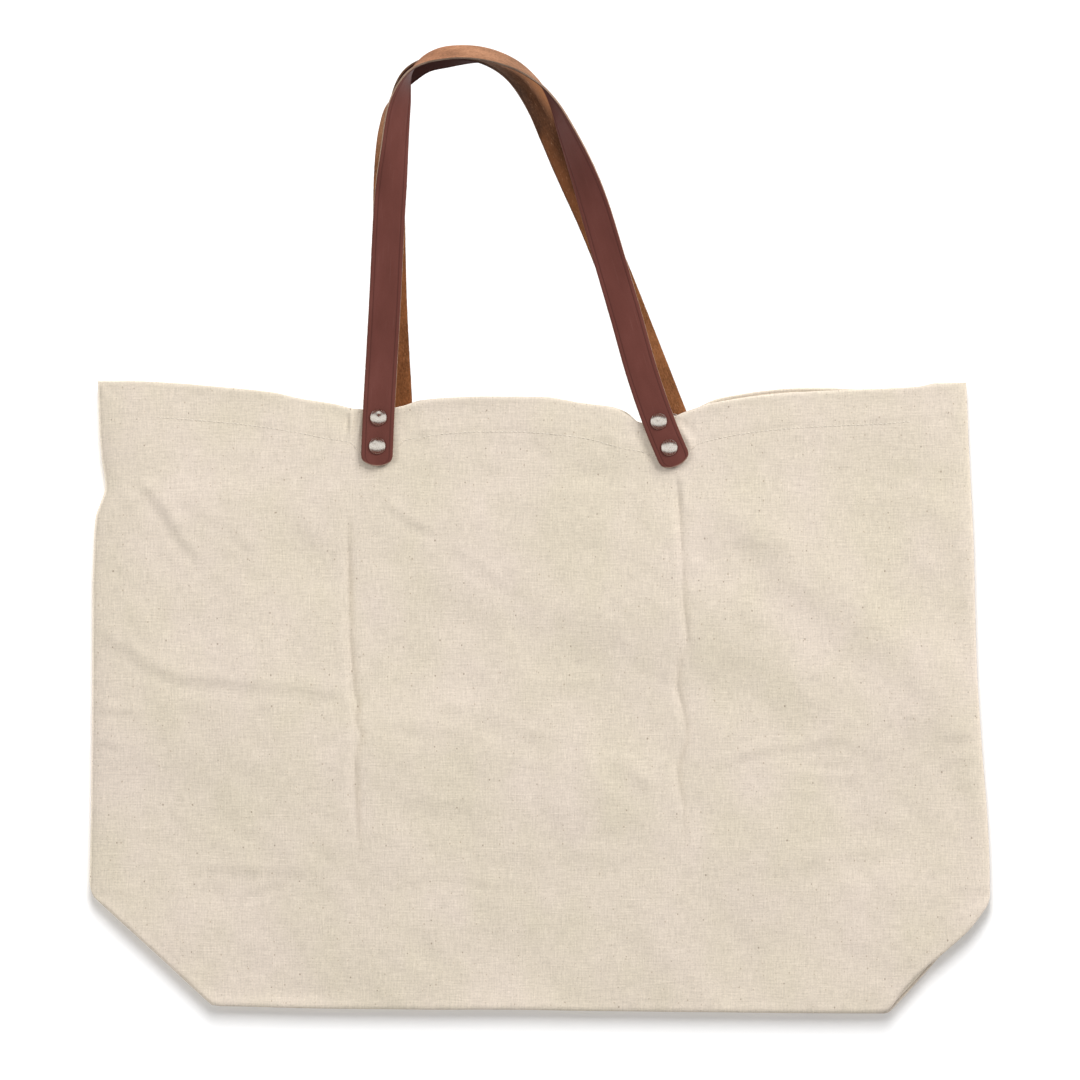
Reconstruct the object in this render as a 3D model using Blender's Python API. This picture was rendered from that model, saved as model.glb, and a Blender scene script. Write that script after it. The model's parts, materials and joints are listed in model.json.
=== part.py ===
"""Flat-folded canvas tote bag with two riveted leather strap handles.

Metres, +Z up. The bag is upright, its front faces -Y and +X is to the right of someone facing the
front. The origin is under the middle of the whole object's box, handles included, at the level of
the lowest corner. The bag's own mid plane lies BAG_Y behind it, because the handles lean forward.

The body is two canvas panels that meet at the side seams. The bottom is folded upwards between
them, and diagonal folds cut off the lower corners. Hem bands line the top edges. Each handle is one
leather strap, fixed outside the hem with two-piece domed rivets. It bends just above the hem, where
its loop is a separate solid from its two riveted ends.
"""

import math
from bisect import bisect_right

import bmesh
import bpy
from mathutils import Matrix, Vector

MM = 0.001  # all sizes below are in millimetres
FRONT, BACK = -1.0, 1.0  # a side's direction along Y
ROOT_NAME = "tote_bag"

# ---------------------------------------------------------------- body
CANVAS = 0.9  # one ply
GAP = 0.3  # air between neighbouring solids
BELLY = 6.6  # half depth of the folded bag, outer face of a panel
HEM_HALF = 6.0  # half depth of the bag at its mouth
SEAM_HALF = 1.2  # half depth at the side seams
PINCH = 34.0  # the panels close towards a side seam over this distance
BAG_Y = 10.04  # the bag's mid plane, behind the middle of the whole box

# side edges as (height, x), from the diagonal fold up to the mouth
LEFT_EDGE = (
    (80.0, -286.0), (175.0, -285.0), (268.0, -284.5), (302.0, -283.0),
    (332.0, -277.5), (372.0, -280.0), (402.0, -280.7),
)
RIGHT_EDGE = (
    (72.0, 286.0), (100.0, 286.0), (131.0, 284.0), (168.0, 281.0),
    (226.0, 277.5), (300.0, 275.6), (328.0, 274.3), (401.0, 271.0),
)
# the diagonal folds run from a foot to a corner, both as (x, height)
LEFT_FOOT = (-207.0, 5.5)
RIGHT_FOOT = (221.0, 0.0)
LEFT_CORNER = LEFT_EDGE[0][::-1]
RIGHT_CORNER = RIGHT_EDGE[0][::-1]
LEFT_TOP_X = LEFT_EDGE[-1][1]
RIGHT_TOP_X = RIGHT_EDGE[-1][1]

# top edge of the front panel as (x, height): it sags where the handles are fixed
FRONT_TOP = (
    (-281.0, 402.0), (-234.0, 402.0), (-203.0, 399.4), (-170.0, 395.9), (-152.0, 391.2),
    (-131.0, 388.2), (-117.0, 384.4), (-102.0, 383.6), (-88.0, 385.4), (-79.0, 389.0),
    (-58.0, 391.2), (-37.0, 392.6), (0.0, 393.1), (26.0, 388.6), (54.0, 384.8),
    (63.0, 375.0), (77.0, 376.5), (93.0, 383.4), (112.0, 389.9), (162.0, 395.9),
    (210.0, 397.5), (250.0, 400.5), (271.0, 400.7),
)
# height of the back panel's top edge over the front's, as (x, rise)
BACK_TOP_RISE = (
    (-281.0, -0.8), (-120.0, -0.8), (60.0, -1.0), (96.0, -0.5),
    (118.0, 2.6), (168.0, 2.4), (190.0, 0.0), (271.0, -0.6),
)

# grid of a panel
SIDE_COLUMNS = (0.0, 4.0, 14.0, PINCH)  # distances from each side edge
INNER_X = [x for x, _ in FRONT_TOP[2:-2]]  # top edge points away from the sides
DIAGONAL_SHARES = (0.0, 0.35, 0.7, 0.88, 1.0)  # rows up the diagonal folds
BODY_LEVELS = (130.0, 200.0, 270.0, 302.0, 326.0)
MOUTH_LEVEL = 343.0  # lowest row with the mouth's depth
MOUTH_SAG_SHARE = 0.15  # how much of the top edge's sag that row follows
SAG_LEVEL = 401.0  # the sag is counted from this height

# hem
HEM_DEPTH = 24.0
HEM_PLIES = 1.4  # thickness of the hem band
HEM_DROP = 1.0  # the band's top below the panel's
HEM_END_INSET = 10.0  # from the side edge to the band's end
HEM_END_COLUMNS = (0.0, 8.0, 24.0)  # distances from each end of the band
HEM_DEPTH_LEVEL = 390.0  # the band takes its Y from the panel at this height
HEM_PINCH_GAP = 0.35  # more air where the panels close

# sewing line of the hem
STITCH_DOWN = 23.0  # under the top edge
STITCH_SECTIONS = 44
STITCH_END_LEVEL = 380.0  # the line's ends are counted from the side edges at this height
STITCH_END_INSET = PINCH + 2
STITCH_AVERAGE = (-14.0, -7.0, 0.0, 7.0, 14.0)  # X offsets averaged to soften the sag
STITCH_RIVET_DROP = 4.5  # under a rivet's centre
STITCH_RIVET_REACH = 18.0  # the line is drawn to a rivet within this distance along X
STITCH_RIVET_PULL = 1.8  # how soon it gets there
THREAD_THICK = 0.3
THREAD_HALF_HEIGHT = 0.3

# side seams
SEAM_IN = (5.0, 14.0)  # the seam strip, measured in from the edge
SEAM_THICK = 1.8
SEAM_LEVELS = (92.0, 150.0, 220.0, 268.0, 302.0, 332.0, 355.0, 374.0)

# folded bottom
FOLD_GAP = 0.35  # air between a fold's legs and the panels
CREASE_HALF = 0.5  # half width of the fold's top
CREASE_DEPTH = 2.0  # from the fold's top down to its inner crease
FOLD_INSET = 0.5  # from a foot to the end of a folded piece
GUSSET_LIFT = 0.3  # above the bottom edge
GUSSET_SHARES = (0.0, 0.5, 1.0)
TUCK_LIFT = 0.5  # above the diagonal fold
TUCK_SHARES = (0.0, 0.3, 0.6, 0.84)
TUCK_CLOSING = 2.0  # a tuck's reach shrinks by this times its share squared

# ---------------------------------------------------------------- straps
STRAP_WIDTH = 20.0
STRAP_THICK = 2.6
STRAP_GAP = 0.9  # air between a panel and a strap
STRAP_Y = HEM_HALF + STRAP_GAP + STRAP_THICK / 2  # mid plane of a riveted end
BEND_Z = 398.0  # the straps bend here, above the hem
BEND_RADIUS = 4.4  # from the strap's mid plane to the bend's axis
BEND_GAP = 0.8  # between a riveted end and its loop
LEAN = {FRONT: -13.8, BACK: -6.7}  # Y from the riveted ends to a loop's top
LEAN_START_Z = BEND_Z + 4.0
LEAN_END_Z = 575.0

# Centre lines as (x, height, turn), from the left end to the right. The turn is 0 where the
# strap's outer face looks to the front, 90 where it looks into the arch and 180 to the back.
CENTRE_LINES = {
    FRONT: (
        (-103.8, 348.6, 0), (-102.5, 380.6, 0), (-98.7, 447.7, 0), (-95.3, 513.7, 5),
        (-92.7, 546.0, 30), (-88.9, 579.0, 50), (-82.6, 598.4, 86), (-73.7, 606.0, 103),
        (-63.5, 609.8, 113), (-52.1, 611.2, 115), (-38.1, 610.4, 115), (-25.4, 607.2, 112),
        (-12.7, 601.4, 105), (1.7, 589.5, 91), (9.9, 576.9, 76), (16.0, 563.0, 61),
        (26.8, 536.2, 38), (34.4, 513.3, 21), (43.9, 480.4, 8), (54.4, 444.4, 0),
        (64.6, 408.3, 0), (76.3, 374.5, 0), (87.2, 348.6, 0),
    ),
    BACK: (
        (-89.6, 348.6, 180), (-91.4, 388.6, 180), (-94.6, 450.0, 180), (-95.9, 505.0, 176),
        (-96.6, 545.0, 146), (-97.0, 564.0, 122), (-96.4, 577.0, 100), (-91.8, 586.2, 80),
        (-83.2, 597.0, 64), (-72.0, 603.9, 67), (-57.2, 605.8, 75), (-38.4, 605.2, 93),
        (-23.4, 601.3, 112), (-11.4, 593.9, 134), (0.4, 577.8, 149), (9.0, 559.6, 158),
        (17.5, 540.3, 164), (34.6, 503.0, 172), (47.6, 471.2, 179), (66.0, 425.0, 180),
        (83.8, 379.7, 180), (96.1, 348.6, 180),
    ),
}
LINE_STEPS = 900
TANGENT_REACH = 1.5  # a strap's direction is taken over this distance each way
LOOP_SECTIONS = 46
END_SECTIONS = 5  # past the rounded tip
TIP_RADIUS = 7.0  # rounded corners of a strap's end
TIP_FLAT = 0.6  # added to the half width at the very tip
TIP_DISTANCES = (0.0, 0.8, 2.4, 4.6, TIP_RADIUS)  # sections from the tip

# ---------------------------------------------------------------- rivets
RIVET_UP = {"lower": 12.8, "upper": 30.8}  # distance from the strap's end
CAP_SEAT = STRAP_Y + STRAP_THICK / 2 + GAP  # the cap's underside, from the mid plane
CAP_RADIUS = 5.3
CAP_HEIGHT = 2.2
CAP_RIM = 0.45  # height where the dome starts
CAP_BEVEL = 0.2
CAP_DOME_STEPS = 4
SOCKET_DEPTH = 1.4
SOCKET_GAP = 0.35  # around the post
BASE_SEAT = HEM_HALF - CANVAS - GAP - HEM_PLIES - GAP  # the base's face towards the hem
BASE_RADIUS = 4.8
BASE_HEIGHT = 1.3
BASE_RIM = 0.45
BASE_FLAT = 0.72  # share of the base's radius
BASE_CROWN = 0.15
POST_RADIUS = 1.4
POST_BEVEL = 0.3
POST_IN_CAP = 1.1  # how far the post stands into the cap's socket
PUNCH_RADIUS = 1.8  # hole through strap end, panel and hem band
PUNCH_Y = (2.0, 14.0)  # the cutter's reach from the mid plane
CAP_SIDES = 18
POST_SIDES = 12
SHARP_DEGREES = 40.0

FINISHES = {
    "canvas": dict(colour=(0.78, 0.69, 0.56), roughness=0.95, metallic=0.0),
    "thread": dict(colour=(0.84, 0.78, 0.66), roughness=0.9, metallic=0.0),
    "leather": dict(colour=(0.168, 0.058, 0.045), roughness=0.45, metallic=0.0),
    "nickel": dict(colour=(0.62, 0.56, 0.51), roughness=0.3, metallic=1.0),
}


# ---------------------------------------------------------------- objects and materials
def clear_scene():
    for obj in list(bpy.data.objects):
        bpy.data.objects.remove(obj)


def make_material(name, colour, roughness, metallic):
    made = bpy.data.materials.new(name)
    made.use_nodes = True
    inputs = made.node_tree.nodes["Principled BSDF"].inputs
    inputs["Base Color"].default_value = (*colour, 1.0)
    inputs["Roughness"].default_value = roughness
    inputs["Metallic"].default_value = metallic
    made.diffuse_color = (*colour, 1.0)
    return made


def material(name):
    return bpy.data.materials.get(name) or make_material(name, **FINISHES[name])


def add_object(name, data, location, parent):
    obj = bpy.data.objects.new(name, data)
    bpy.context.scene.collection.objects.link(obj)
    obj.parent = parent
    obj.location = location * MM
    return obj


def add_piece(name, verts, faces, finish, origin=Vector()):
    """A mesh object under the root, from points in millimetres, its faces turned outwards."""
    mesh = bpy.data.meshes.new(name)
    mesh.from_pydata([(Vector(vert) - origin) * MM for vert in verts], [], faces)
    bm = bmesh.new()
    bm.from_mesh(mesh)
    bmesh.ops.recalc_face_normals(bm, faces=bm.faces)
    bm.to_mesh(mesh)
    bm.free()
    mesh.materials.append(material(finish))
    return add_object(name, mesh, origin, bpy.data.objects[ROOT_NAME])


# ---------------------------------------------------------------- geometry tools
def on_line(start, end, t):
    """Value at t on the straight line through two (t, value) points."""
    return start[1] + (end[1] - start[1]) * (t - start[0]) / (end[0] - start[0])


def along(table, t):
    """Straight-line interpolation in a table of (t, value) pairs, held at both ends."""
    if t <= table[0][0]:
        return table[0][1]
    for start, end in zip(table, table[1:]):
        if t <= end[0]:
            return on_line(start, end, t)
    return table[-1][1]


def between(start, end, share):
    return tuple(a + (b - a) * share for a, b in zip(start, end))


def smooth(t):
    t = min(1.0, max(0.0, t))
    return t * t * (3 - 2 * t)


def lofted(sections):
    """Verts and faces of a closed body through a row of closed sections with equal point counts."""
    n = len(sections[0])
    verts = [point for section in sections for point in section]
    faces = []
    for i in range(len(sections) - 1):
        for j in range(n):
            k = (j + 1) % n
            faces.append((i * n + j, i * n + k, (i + 1) * n + k, (i + 1) * n + j))
    faces.append(tuple(range(n)))
    faces.append(tuple((len(sections) - 1) * n + j for j in range(n)))
    return verts, faces


def turned(profile, sides):
    """Verts and faces of a profile of (radius, height) turned round Z, both ends on the axis."""
    angles = [2 * math.pi * k / sides for k in range(sides)]
    verts = [(0.0, 0.0, profile[0][1])]
    for radius, z in profile[1:-1]:
        verts += [(radius * math.cos(a), radius * math.sin(a), z) for a in angles]
    verts.append((0.0, 0.0, profile[-1][1]))
    last_ring = 1 + (len(profile) - 3) * sides
    faces = []
    for k in range(sides):
        n = (k + 1) % sides
        faces.append((0, 1 + k, 1 + n))
        for ring in range(1, last_ring, sides):
            above = ring + sides
            faces.append((ring + k, above + k, above + n, ring + n))
        faces.append((last_ring + n, last_ring + k, len(verts) - 1))
    return verts, faces


# ---------------------------------------------------------------- shape of the folded bag
def seam_distance(x, z):
    """Distance from a point of a panel to the nearer side seam, which ends at a corner."""
    distances = []
    for edge in (LEFT_EDGE, RIGHT_EDGE):
        corner_z, corner_x = edge[0]
        if z >= corner_z:
            distances.append(abs(x - along(edge, z)))
        else:
            distances.append(math.hypot(x - corner_x, z - corner_z))
    return min(distances)


def half_depth(x, z, mouth):
    """Outer half depth of the bag: full in the middle, closing towards the side seams."""
    full = HEM_HALF if mouth else BELLY
    share = min(1.0, seam_distance(x, z) / PINCH)
    return SEAM_HALF + (full - SEAM_HALF) * math.sqrt(max(0.0, 1 - (1 - share) ** 2))


def top_edge(x, side):
    z = along(FRONT_TOP, x)
    return z + along(BACK_TOP_RISE, x) if side == BACK else z


# ---------------------------------------------------------------- canvas
def panel_columns(left_x, right_x):
    """X of a row's points: fixed distances at the sides, the top edge's spacing between them."""
    top_low, top_high = FRONT_TOP[0][0] + PINCH, FRONT_TOP[-1][0] - PINCH
    low, high = left_x + PINCH, right_x - PINCH
    columns = [left_x + distance for distance in SIDE_COLUMNS]
    columns += [low + (high - low) * (x - top_low) / (top_high - top_low) for x in INNER_X]
    return columns + [right_x - distance for distance in reversed(SIDE_COLUMNS)]


def panel_rows(side):
    """Rows of (x, z, is_mouth) points covering a panel, from the bottom fold to the top edge."""
    def level(z, sag, mouth):
        return (along(LEFT_EDGE, z), z), (along(RIGHT_EDGE, z), z), sag, mouth

    rows = [
        (between(LEFT_FOOT, LEFT_CORNER, share), between(RIGHT_FOOT, RIGHT_CORNER, share), 0.0, False)
        for share in DIAGONAL_SHARES
    ]
    rows += [level(z, 0.0, False) for z in BODY_LEVELS]
    rows.append(level(MOUTH_LEVEL, MOUTH_SAG_SHARE, True))
    rows.append(((LEFT_TOP_X, SAG_LEVEL), (RIGHT_TOP_X, SAG_LEVEL), 1.0, True))
    return [
        [
            (x, on_line(left, right, x) + (top_edge(x, side) - SAG_LEVEL) * sag, mouth)
            for x in panel_columns(left[0], right[0])
        ]
        for left, right, sag, mouth in rows
    ]


def panel(name, side):
    rows = panel_rows(side)
    m, n = len(rows), len(rows[0])
    verts = [
        (x, side * (half_depth(x, z, mouth) - skin), z)
        for skin in (0.0, CANVAS) for row in rows for x, z, mouth in row
    ]
    inner = m * n  # first vertex of the inner skin
    faces = []
    for i in range(m - 1):
        for j in range(n - 1):
            a, b, c, d = i * n + j, i * n + j + 1, (i + 1) * n + j + 1, (i + 1) * n + j
            faces.append((a, b, c, d))
            faces.append((inner + d, inner + c, inner + b, inner + a))
    # the rim: bottom, right, top, left
    rim = list(range(n)) + [i * n + n - 1 for i in range(1, m)]
    rim += [(m - 1) * n + j for j in range(n - 2, -1, -1)] + [i * n for i in range(m - 2, 0, -1)]
    faces += [(a, b, inner + b, inner + a) for a, b in zip(rim, rim[1:] + rim[:1])]
    return add_piece(name, verts, faces, "canvas")


def hem_band(name, side):
    """The band inside a panel's top edge."""
    low, high = LEFT_TOP_X + HEM_END_INSET, RIGHT_TOP_X - HEM_END_INSET
    columns = [low + distance for distance in HEM_END_COLUMNS] + INNER_X
    columns += [high - distance for distance in reversed(HEM_END_COLUMNS)]
    sections = []
    for x in columns:
        top = top_edge(x, side) - HEM_DROP
        bottom = top - HEM_DEPTH
        outer = half_depth(x, HEM_DEPTH_LEVEL, True) - CANVAS - GAP
        if seam_distance(x, HEM_DEPTH_LEVEL) < PINCH:
            outer -= HEM_PINCH_GAP
        outer_y, inner_y = side * outer, side * (outer - HEM_PLIES)
        sections.append([(x, outer_y, top), (x, inner_y, top), (x, inner_y, bottom), (x, outer_y, bottom)])
    return add_piece(name, *lofted(sections), "canvas")


def hem_thread(name, side, low_rivets):
    """The hem's sewing line, drawn as one thread. It is drawn just under each lower rivet."""
    low = along(LEFT_EDGE, STITCH_END_LEVEL) + STITCH_END_INSET
    high = along(RIGHT_EDGE, STITCH_END_LEVEL) - STITCH_END_INSET
    inner_y = side * (HEM_HALF + GAP)
    outer_y = side * (HEM_HALF + GAP + THREAD_THICK)
    sections = []
    for i in range(STITCH_SECTIONS + 1):
        x = low + (high - low) * i / STITCH_SECTIONS
        edge = sum(top_edge(x + offset, side) for offset in STITCH_AVERAGE) / len(STITCH_AVERAGE)
        z = edge - STITCH_DOWN
        for rivet_x, rivet_z in low_rivets:
            nearness = max(0.0, 1 - abs(x - rivet_x) / STITCH_RIVET_REACH)
            if abs(z - rivet_z) < STITCH_RIVET_DROP:
                pull = smooth(nearness * STITCH_RIVET_PULL)
                z += (rivet_z - STITCH_RIVET_DROP - z) * pull
        top, bottom = z + THREAD_HALF_HEIGHT, z - THREAD_HALF_HEIGHT
        sections.append([(x, inner_y, top), (x, outer_y, top), (x, outer_y, bottom), (x, inner_y, bottom)])
    add_piece(name, *lofted(sections), "thread")


def side_seam(name, edge, inward):
    """A strip along the inside of a side edge. Inward is its direction along X."""
    y = SEAM_THICK / 2
    sections = []
    for z in SEAM_LEVELS:
        outer_x, inner_x = (along(edge, z) + inward * distance for distance in SEAM_IN)
        sections.append([(outer_x, -y, z), (inner_x, -y, z), (inner_x, y, z), (outer_x, y, z)])
    add_piece(name, *lofted(sections), "canvas")


def folded_section(x, foot, reach):
    """An upside-down V of one canvas ply, open downwards, at one x."""
    top = on_line(LEFT_CORNER, RIGHT_CORNER, x)
    inner = reach - CANVAS
    return [
        (x, -reach, foot), (x, -CREASE_HALF, top), (x, CREASE_HALF, top), (x, reach, foot),
        (x, inner, foot), (x, 0.0, top - CREASE_DEPTH), (x, -inner, foot),
    ]


def bottom_gusset():
    """The folded bottom between the two feet."""
    low, high = LEFT_FOOT[0] + FOLD_INSET, RIGHT_FOOT[0] - FOLD_INSET
    sections = []
    for share in GUSSET_SHARES:
        x = low + (high - low) * share
        foot = on_line(LEFT_FOOT, RIGHT_FOOT, x) + GUSSET_LIFT
        sections.append(folded_section(x, foot, BELLY - CANVAS - FOLD_GAP))
    add_piece("bottom_gusset", *lofted(sections), "canvas")


def corner_tuck(name, foot, corner):
    """The folded-in triangle above a diagonal edge."""
    inset = math.copysign(FOLD_INSET, corner[0] - foot[0])
    sections = []
    for share in TUCK_SHARES:
        x = foot[0] + inset + (corner[0] - foot[0]) * share
        z = on_line(foot, corner, x) + TUCK_LIFT
        reach = half_depth(x, z, False) - CANVAS - FOLD_GAP - TUCK_CLOSING * share * share
        sections.append(folded_section(x, z, reach))
    add_piece(name, *lofted(sections), "canvas")


# ---------------------------------------------------------------- straps
def curve(line, t):
    """(x, z, turn) on a centripetal Catmull-Rom curve through stations, t counted in stations."""
    def beyond(end, neighbour):
        return tuple(2 * a - b for a, b in zip(end, neighbour))

    last = len(line) - 2
    i = min(last, int(t))
    start, end = line[i], line[i + 1]
    before = line[i - 1] if i > 0 else beyond(start, end)
    after = line[i + 2] if i < last else beyond(end, start)
    stations = (before, start, end, after)
    knots = [0.0]
    for a, b in zip(stations, stations[1:]):
        knots.append(knots[-1] + math.dist(a[:2], b[:2]) ** 0.5)
    knot = knots[1] + (knots[2] - knots[1]) * (t - i)

    def blend(a, b, low, high):
        span = knots[high] - knots[low]
        return a * (knots[high] - knot) / span + b * (knot - knots[low]) / span

    point = []
    for a, b, c, d in zip(*stations):
        ab, bc, cd = blend(a, b, 0, 1), blend(b, c, 1, 2), blend(c, d, 2, 3)
        point.append(blend(blend(ab, bc, 0, 2), blend(bc, cd, 1, 3), 1, 2))
    return point


def strap_depth(z, side):
    return side * STRAP_Y + LEAN[side] * smooth((z - LEAN_START_Z) / (LEAN_END_Z - LEAN_START_Z))


def strap_table(side):
    """Fine samples (distance, point, turn) along a strap's centre line."""
    line = CENTRE_LINES[side]
    table = []
    for i in range(LINE_STEPS + 1):
        x, z, turn = curve(line, (len(line) - 1) * i / LINE_STEPS)
        point = Vector((x, strap_depth(z, side), z))
        distance = table[-1][0] + (point - table[-1][1]).length if table else 0.0
        table.append((distance, point, turn))
    return table


def strap_at(table, distance):
    """Point and turn at a distance along the strap."""
    distance = min(table[-1][0], max(0.0, distance))
    i = min(len(table) - 2, bisect_right(table, distance, key=lambda row: row[0]) - 1)
    (start, start_point, start_turn), (end, end_point, end_turn) = table[i], table[i + 1]
    share = (distance - start) / (end - start)
    return start_point.lerp(end_point, share), start_turn + (end_turn - start_turn) * share


def strap_section(table, distance, half_width):
    """The strap's rectangular section at a distance along it."""
    point, turn = strap_at(table, distance)
    ahead, _ = strap_at(table, distance + TANGENT_REACH)
    behind, _ = strap_at(table, distance - TANGENT_REACH)
    tangent = (ahead - behind).normalized()
    front = Vector((0, -1, 0))
    front = (front - tangent * front.dot(tangent)).normalized()
    inward = tangent.cross(front)
    cosine, sine = math.cos(math.radians(turn)), math.sin(math.radians(turn))
    across = (inward * cosine - front * sine) * half_width
    outward = (front * cosine + inward * sine) * (STRAP_THICK / 2)
    return [
        point + across + outward, point - across + outward,
        point - across - outward, point + across - outward,
    ]


def bend_distance(rows):
    """Distance at which rows of a strap table first rise through the bend's height."""
    for (near, low, _), (far, high, _) in zip(rows, rows[1:]):
        if low.z < BEND_Z <= high.z:
            return on_line((low.z, near), (high.z, far), BEND_Z)


def end_half_width(from_tip):
    """Half width near a strap's rounded end."""
    if from_tip >= TIP_RADIUS:
        return STRAP_WIDTH / 2
    flat = STRAP_WIDTH / 2 - TIP_RADIUS
    if from_tip == 0:
        return flat + TIP_FLAT
    return flat + math.sqrt(TIP_RADIUS ** 2 - (TIP_RADIUS - from_tip) ** 2)


def strap_end(name, table, tip, stop):
    """A riveted end, from the strap's tip to a stop, both as distances along the strap."""
    way = math.copysign(1, stop - tip)
    straight = abs(stop - tip) - TIP_RADIUS
    steps = list(TIP_DISTANCES)
    steps += [TIP_RADIUS + straight * i / END_SECTIONS for i in range(1, END_SECTIONS + 1)]
    sections = [strap_section(table, tip + way * step, end_half_width(step)) for step in steps]
    return add_piece(name, *lofted(sections), "leather")


def strap_loop(prefix, table, start, stop, side):
    """The loop and the empty on its bend axis that carries it."""
    axis = Vector((0, side * (STRAP_Y + BEND_RADIUS), BEND_Z))
    sections = [
        strap_section(table, start + (stop - start) * i / LOOP_SECTIONS, STRAP_WIDTH / 2)
        for i in range(LOOP_SECTIONS + 1)
    ]
    loop = add_piece(f"{prefix}_strap_loop", *lofted(sections), "leather", origin=axis)
    loop.parent = add_object(f"{prefix}_handle_bend", None, axis, bpy.data.objects[ROOT_NAME])
    loop.location = (0, 0, 0)


def strap(prefix, table, side):
    """One strap. Returns its two riveted ends."""
    left, right = bend_distance(table), bend_distance(table[::-1])
    half_gap = BEND_GAP / 2
    strap_loop(prefix, table, left + half_gap, right - half_gap, side)
    return [
        strap_end(f"{prefix}_strap_left_end", table, 0.0, left - half_gap),
        strap_end(f"{prefix}_strap_right_end", table, table[-1][0], right + half_gap),
    ]


# ---------------------------------------------------------------- rivets
def rivet_points(table):
    """(x, z) of a strap's rivets, by (end, level)."""
    points = {}
    for level, up in RIVET_UP.items():
        for end, distance in (("left", up), ("right", table[-1][0] - up)):
            point, _ = strap_at(table, distance)
            points[end, level] = (point.x, point.z)
    return points


def cap_profile():
    """The domed cap with its socket, as (radius, height) over the cap's seat."""
    socket = POST_RADIUS + SOCKET_GAP
    profile = [(0.0, SOCKET_DEPTH), (socket, SOCKET_DEPTH), (socket, 0.0)]
    profile += [(CAP_RADIUS - CAP_BEVEL, 0.0), (CAP_RADIUS, CAP_RIM)]
    for k in range(1, CAP_DOME_STEPS):
        angle = math.radians(90.0 * k / CAP_DOME_STEPS)
        z = CAP_RIM + (CAP_HEIGHT - CAP_RIM) * math.sin(angle)
        profile.append((CAP_RADIUS * math.cos(angle), z))
    return profile + [(0.0, CAP_HEIGHT)]


def post_profile():
    """The base and its post, as (radius, height) over the base's seat."""
    tip = CAP_SEAT + POST_IN_CAP - BASE_SEAT
    return [
        (0.0, -BASE_HEIGHT), (BASE_RADIUS * BASE_FLAT, -BASE_HEIGHT + BASE_CROWN),
        (BASE_RADIUS, -BASE_RIM), (BASE_RADIUS, 0.0), (POST_RADIUS, 0.0),
        (POST_RADIUS, tip - POST_BEVEL), (POST_RADIUS - POST_BEVEL, tip), (0.0, tip),
    ]


def rivet_part(name, profile, sides, centre, side):
    """A turned part whose height axis points outwards along Y."""
    spin = Matrix.Rotation(math.radians(-90.0 * side), 3, "X")
    verts, faces = turned(profile, sides)
    verts = [spin @ Vector(vert) + centre for vert in verts]
    part = add_piece(name, verts, faces, "nickel", origin=centre)
    for polygon in part.data.polygons:
        polygon.use_smooth = True
    part.data.set_sharp_from_angle(angle=math.radians(SHARP_DEGREES))


def rivet(name, x, z, side):
    cap_centre = Vector((x, side * CAP_SEAT, z))
    base_centre = Vector((x, side * BASE_SEAT, z))
    rivet_part(f"{name}_cap", cap_profile(), CAP_SIDES, cap_centre, side)
    rivet_part(f"{name}_post", post_profile(), POST_SIDES, base_centre, side)


def punch(name, points, side):
    """Hidden cutter for one side's rivet holes."""
    angles = [2 * math.pi * (k + 0.5) / POST_SIDES for k in range(POST_SIDES)]
    verts, faces = [], []
    for x, z in points:
        pin_verts, pin_faces = lofted([
            [(x + PUNCH_RADIUS * math.cos(a), side * y, z + PUNCH_RADIUS * math.sin(a)) for a in angles]
            for y in PUNCH_Y
        ])
        faces += [tuple(len(verts) + index for index in face) for face in pin_faces]
        verts += pin_verts
    cutter = add_piece(name, verts, faces, "nickel")
    cutter.hide_render = True
    cutter.display_type = "WIRE"
    return cutter


def cut(obj, cutter):
    holes = obj.modifiers.new("rivet_holes", "BOOLEAN")
    holes.operation = "DIFFERENCE"
    holes.solver = "EXACT"
    holes.object = cutter


# ---------------------------------------------------------------- assembly
def bag_side(prefix, side):
    """One panel with its hem, handle and rivets."""
    table = strap_table(side)
    rivets = rivet_points(table)
    for (end, level), (x, z) in rivets.items():
        rivet(f"{prefix}_{end}_{level}_rivet", x, z, side)
    # left before right, lower before upper
    points = [rivets[end, level] for end in ("left", "right") for level in RIVET_UP]
    cutter = punch(f"{prefix}_rivet_punch", points, side)
    low_rivets = [rivets[end, "lower"] for end in ("left", "right")]
    hem_thread(f"{prefix}_hem_thread", side, low_rivets)
    pierced = [panel(f"{prefix}_panel", side), hem_band(f"{prefix}_hem_band", side)]
    for obj in pierced + strap(prefix, table, side):
        cut(obj, cutter)


def main():
    clear_scene()
    add_object(ROOT_NAME, None, Vector((0, BAG_Y, 0)), None)
    bottom_gusset()
    corner_tuck("left_corner_tuck", LEFT_FOOT, LEFT_CORNER)
    corner_tuck("right_corner_tuck", RIGHT_FOOT, RIGHT_CORNER)
    side_seam("left_side_seam", LEFT_EDGE, 1.0)
    side_seam("right_side_seam", RIGHT_EDGE, -1.0)
    bag_side("front", FRONT)
    bag_side("back", BACK)


main()
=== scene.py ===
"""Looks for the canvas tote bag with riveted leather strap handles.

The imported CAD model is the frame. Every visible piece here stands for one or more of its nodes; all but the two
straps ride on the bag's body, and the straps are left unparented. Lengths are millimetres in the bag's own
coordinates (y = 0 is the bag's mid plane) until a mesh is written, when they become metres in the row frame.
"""

import json
import math

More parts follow.
